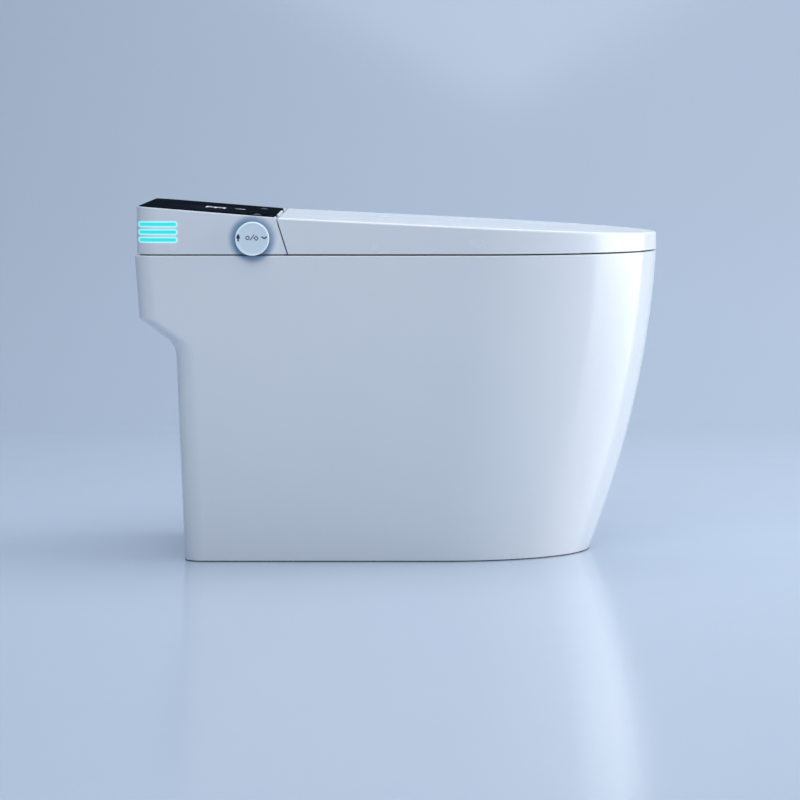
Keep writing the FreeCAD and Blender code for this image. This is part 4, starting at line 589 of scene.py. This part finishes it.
def lightBars():
    s, rear, front = barSizes, barLook["rear"], barLook["front"]
    columns, rows = s["columns"], s["rows"]
    parts = []
    for bar in range(barLook["count"]):
        middle = barLook["top"] - barLook["pitch"] * bar
        points, faces = [], []
        for side in (0, 1):
            for i in range(columns + 1):
                share = (1 - math.cos(math.pi * i / columns)) / 2
                x = rear + (front - rear) * share
                inset = min(x - rear, front - x, s["half"])
                half = math.sqrt(max(s["half"] ** 2 - (s["half"] - inset) ** 2, 1e-12))
                for j in range(rows + 1):
                    v = -1 + 2 * j / rows
                    crown = s["dome"] * (1 - v * v) * inset / s["half"]
                    px, py = wallPoint(x, crown if side == 0 else -s["depth"])
                    points.append((px, py, middle + half * v))
        stride = rows + 1
        sheet = (columns + 1) * stride
        for i in range(columns):
            for j in range(rows):
                a = i * stride + j
                faces += [(a, a + 1, a + 1 + stride, a + stride),
                          (sheet + a, sheet + a + stride, sheet + a + 1 + stride, sheet + a + 1)]
        rim = [i * stride for i in range(columns + 1)] + [columns * stride + j for j in range(1, rows + 1)]
        rim += [i * stride + rows for i in range(columns - 1, -1, -1)] + [j for j in range(rows - 1, 0, -1)]
        faces += [(rim[i], rim[(i + 1) % len(rim)], sheet + rim[(i + 1) % len(rim)], sheet + rim[i])
                  for i in range(len(rim))]
        parts.append((points, faces))
    points, faces = joined(parts)
    return makePiece("light_lenses", points, faces, finishes["light_bar"], "root",
                     ["light_bars"])


lightBars()
print("scene: light bars made")

# The floor and backdrop are one sheet that curves up behind the object.
stageLook = {"front": -6.0, "back": 3.2, "half": 7.0, "curve": 1.6, "height": 5.0,
             "colour": rgba(0.50, 0.585, 0.70), "cloud": rgba(0.52, 0.605, 0.72)}


def floorFinish():
    p = Paint("pale_floor")
    cloud = p.noise(0.9, 3.0)
    colour = p.mix(stageLook["colour"], stageLook["cloud"], cloud)
    inner = p.node("ShaderNodeNewGeometry", None, {}, "Backfacing")  # the sheet's outer side is clear
    return p.done(Base_Color=colour, Roughness=0.17 + (p.noise(5.0, 3.0) - 0.5) * 0.04,
                  Normal=p.bump(p.noise(300.0, 2.0), 0.01, 0.0003), Alpha=inner)


def backdrop():
    s = stageLook
    line = [(s["front"], 0.0), (s["back"] - s["curve"], 0.0)]
    for i in range(1, 25):
        turn = math.pi / 2 * i / 24
        line.append((s["back"] - s["curve"] + s["curve"] * math.sin(turn),
                     s["curve"] * (1 - math.cos(turn))))
    line.append((s["back"], s["height"]))
    points, faces = [], []
    for y, z in line:
        points += [(-s["half"], y, z), (s["half"], y, z)]
    for i in range(len(line) - 1):
        faces.append((2 * i, 2 * i + 1, 2 * i + 3, 2 * i + 2))
    sheet = makePiece("studio_floor", points, faces, floorFinish(), None)


backdrop()

# Three soft lamps: one before the nose, one overhead and a fill over the near side.
lights = {
    "nose_light": {"place": (3.3, 0.15, 0.75), "aim": (0.35, 0.0, 0.22), "size": (3.0, 2.4), "power": 103.0,
                   "colour": (0.975, 0.965, 0.945)},
    "top_light": {"place": (0.4, 0.3, 2.9), "aim": (0.1, 0.0, 0.2), "size": (3.0, 3.0), "power": 62.0,
                  "colour": (0.90, 0.93, 0.97)},
    "side_fill": {"place": (-0.3, -2.8, 3.2), "aim": (0.05, 0.0, 0.3), "size": (3.0, 2.2), "power": 62.0,
                  "colour": (0.88, 0.93, 1.0)},
}


def addLights():
    for name, s in lights.items():
        lamp = bpy.data.lights.new(name, "AREA")
        lamp.shape, lamp.size, lamp.size_y = "RECTANGLE", *s["size"]
        lamp.energy, lamp.color = s["power"], s["colour"]
        holder = bpy.data.objects.new(name, lamp)
        holder.location = s["place"]
        holder.rotation_euler = (Vector(s["aim"]) - Vector(s["place"])).to_track_quat("-Z", "Y").to_euler()
        bpy.context.scene.collection.objects.link(holder)


worldLook = {"colour": rgba(0.66, 0.76, 0.92), "strength": 0.27}


def addWorld():
    world = bpy.data.worlds.new("studio")
    bpy.context.scene.world = world
    world.use_nodes = True
    sky = world.node_tree.nodes["Background"]
    sky.inputs["Color"].default_value = worldLook["colour"]
    sky.inputs["Strength"].default_value = worldLook["strength"]


addLights()
addWorld()

# The camera, solved from the photograph.
cameraLook = {"place": (0.100, -4.62, 0.616), "pitch": 5.11, "lens": 151.9}
lens = bpy.data.cameras.new("camera")
lens.lens, lens.sensor_width = cameraLook["lens"], 36.0
camera = bpy.data.objects.new("camera", lens)
camera.location = cameraLook["place"]
camera.rotation_euler = (math.radians(90 - cameraLook["pitch"]), 0.0, 0.0)
bpy.context.scene.collection.objects.link(camera)
bpy.context.scene.camera = camera
bpy.context.scene.view_settings.view_transform = "Standard"

print("scene: done")
